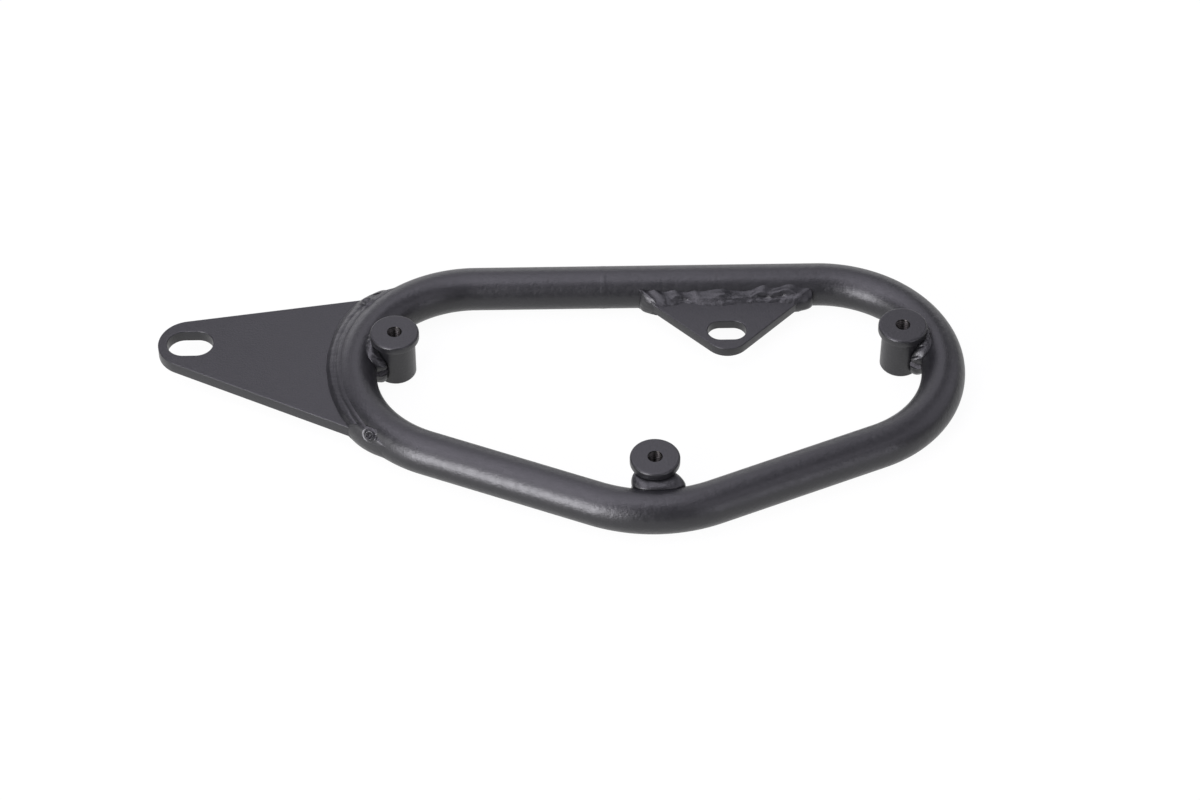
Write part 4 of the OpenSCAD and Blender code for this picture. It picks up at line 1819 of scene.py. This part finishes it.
@dataclass(frozen=True)
class Studio:
    """White table, soft lamps and the camera at the photograph's viewing angle.

    Attributes:
        aim: Point in millimetres that the camera looks at.
        distance: Distance of the camera from it in metres.
        azimuth: Camera's place round the frame in degrees.
        elevation: Camera's height in degrees.
        roll: Camera's roll in degrees.
        lens: Focal length in millimetres on a sensor 36 mm wide.
        floor_z: Height of the table in millimetres.
        ambient: Radiance of the room around.
        table_half: Half the width of the table in metres.
        table_white: Share of plain white in the table as the camera sees it.
        lamps: The softboxes.
    """

    aim: tuple[float, float, float] = (-18.56, 39.95, -12.0)
    distance: float = 1.26
    azimuth: float = -1.52
    elevation: float = 45.77
    roll: float = 0.25
    lens: float = 103.59
    floor_z: float = -20.2
    ambient: float = 0.06
    table_half: float = 4.0
    table_white: float = 0.95
    lamps: tuple[SoftLamp, ...] = (
        SoftLamp("left softbox", -39, 13, 0.44, 0.90, 19.5, "#faf8ff"),
        SoftLamp("upper left softbox", -36, 42, 0.45, 0.40, 4.0, "#f5f0ff"),
        SoftLamp("far left softbox", -75, 16, 0.60, 0.50, 2.6, "#ffffff"),
        SoftLamp("high left softbox", -60, 62, 0.60, 0.50, 4.6, "#f5f0ff"),
        SoftLamp("back left softbox", -120, 62, 0.60, 0.50, 3.3, "#f5f0ff"),
        SoftLamp("overhead softbox", 0, 89, 0.60, 0.60, 3.3, "#f4f0ff"),
        SoftLamp("back softbox", 180, 62, 0.60, 0.50, 2.6, "#f4f0ff"),
        SoftLamp("back fill", 180, 38, 0.60, 0.50, 1.2, "#f4f0ff"),
        SoftLamp("back horizon", 180, 13, 1.80, 0.50, 1.7, "#fbfaff"),
        SoftLamp("right fill", 42, 15, 0.40, 0.60, 3.2, "#f6f3ff"),
        SoftLamp("upper right softbox", 48, 46, 0.50, 0.45, 1.9, "#f5f0ff"),
        SoftLamp("right wall", 105, 32, 1.20, 0.90, 1.3, "#f4f0ff"),
        SoftLamp("left back wall", -137, 22, 0.90, 0.70, 1.0, "#f4f0ff"),
    )

    def build_camera(self) -> None:
        """Makes the camera from its place round the frame."""
        a, e, roll = (math.radians(x) for x in (self.azimuth, self.elevation, self.roll))
        back = Vector((math.sin(a) * math.cos(e), -math.cos(a) * math.cos(e), math.sin(e)))
        right = (-back).cross(Vector((0, 0, 1))).normalized()
        up = right.cross(-back)
        turned = right * math.cos(roll) + up * math.sin(roll)
        upright = up * math.cos(roll) - right * math.sin(roll)
        place = Vector(self.aim) * MM + back * self.distance
        data = bpy.data.cameras.new("camera")
        data.sensor_width, data.lens = 36.0, self.lens
        data.clip_start, data.clip_end = 0.05, 50.0
        camera = bpy.data.objects.new("camera", data)
        camera.matrix_world = Matrix(
            (
                (turned.x, upright.x, back.x, place.x),
                (turned.y, upright.y, back.y, place.y),
                (turned.z, upright.z, back.z, place.z),
                (0.0, 0.0, 0.0, 1.0),
            )
        )
        bpy.context.scene.collection.objects.link(camera)
        bpy.context.scene.camera = camera

    def seen(self, tree: bpy.types.NodeTree) -> bpy.types.NodeSocket:
        """Adds nodes that tell whether a ray comes from the camera, a gloss or a glass.

        Args:
            tree: The material's node tree.

        Returns:
            A socket that gives 1 for such a ray and 0 for any other.
        """
        path = add_node(tree, "ShaderNodeLightPath").outputs
        either = add_node(
            tree,
            "ShaderNodeMath",
            {"operation": "MAXIMUM"},
            {0: path["Is Camera Ray"], 1: path["Is Glossy Ray"]},
        )
        return add_node(
            tree,
            "ShaderNodeMath",
            {"operation": "MAXIMUM"},
            {0: either.outputs[0], 1: path["Is Transmission Ray"]},
        ).outputs[0]

    def build_floor(self) -> None:
        """Makes the table: matt white board, lit from within for the camera so that it stays white.

        The camera sees plain white with a twentieth part of lit board, which keeps the
        frame's soft shadow.
        """
        material, tree = new_material("matt white table board")
        grain = add_node(
            tree,
            "ShaderNodeTexNoise",
            {"Scale": 1 / (2.5 * MM), "Detail": 2.0},
            {"Vector": add_node(tree, "ShaderNodeTexCoord").outputs["Object"]},
        )
        tone = add_node(
            tree,
            "ShaderNodeMix",
            {"data_type": "RGBA", 6: linear("#efefef"), 7: linear("#f3f3f3")},
            {0: grain.outputs["Fac"]},
        )
        board = add_node(tree, "ShaderNodeBsdfDiffuse", links={"Color": tone.outputs[2]})
        white = add_node(tree, "ShaderNodeEmission", {"Strength": 1.0})
        show = add_node(
            tree,
            "ShaderNodeMixShader",
            {0: self.table_white},
            {1: board.outputs[0], 2: white.outputs[0]},
        )
        mix = add_node(
            tree,
            "ShaderNodeMixShader",
            links={0: self.seen(tree), 1: board.outputs[0], 2: show.outputs[0]},
        )
        add_node(tree, "ShaderNodeOutputMaterial", links={"Surface": mix.outputs[0]})
        half, z = self.table_half, self.floor_z * MM
        mesh = bpy.data.meshes.new("table")
        mesh.from_pydata(
            [(-half, -half, z), (half, -half, z), (half, half, z), (-half, half, z)], [], [(0, 1, 2, 3)]
        )
        mesh.materials.append(material)
        table = bpy.data.objects.new("table", mesh)
        bpy.context.scene.collection.objects.link(table)

    def build_room(self) -> None:
        """Makes the world: a dim room for light, and plain white for the camera past the table."""
        world = bpy.data.worlds.new("room")
        world.use_nodes = True
        tree = world.node_tree
        tree.nodes.clear()
        room = add_node(
            tree, "ShaderNodeBackground", {"Color": linear("#ffffff"), "Strength": self.ambient}
        )
        white = add_node(tree, "ShaderNodeBackground", {"Color": linear("#ffffff"), "Strength": 1.0})
        path = add_node(tree, "ShaderNodeLightPath").outputs
        mix = add_node(
            tree,
            "ShaderNodeMixShader",
            links={0: path["Is Camera Ray"], 1: room.outputs[0], 2: white.outputs[0]},
        )
        add_node(tree, "ShaderNodeOutputWorld", links={"Surface": mix.outputs[0]})
        bpy.context.scene.world = world

    def build(self) -> None:
        """Makes camera, table, room and lamps, and sets the plain view."""
        bpy.context.scene.view_settings.view_transform = "Standard"
        self.build_camera()
        self.build_floor()
        self.build_room()
        for lamp in self.lamps:
            lamp.build(Vector(self.aim) * MM)


def main() -> None:
    """Builds the studio, then the sub-assemblies in order."""
    logging.basicConfig(level=logging.INFO, format="%(name)s %(message)s", stream=sys.stdout)
    sizes, finishes = LoopSizes(), Finishes()
    Studio().build()
    TubeLoop(sizes, finishes).build()
    SidePlate(sizes, finishes).build()
    InnerBracket(sizes, finishes).build()
    for spot in BossPlace:
        Boss(sizes, finishes, spot).build()


if __name__ == "__main__":
    main()
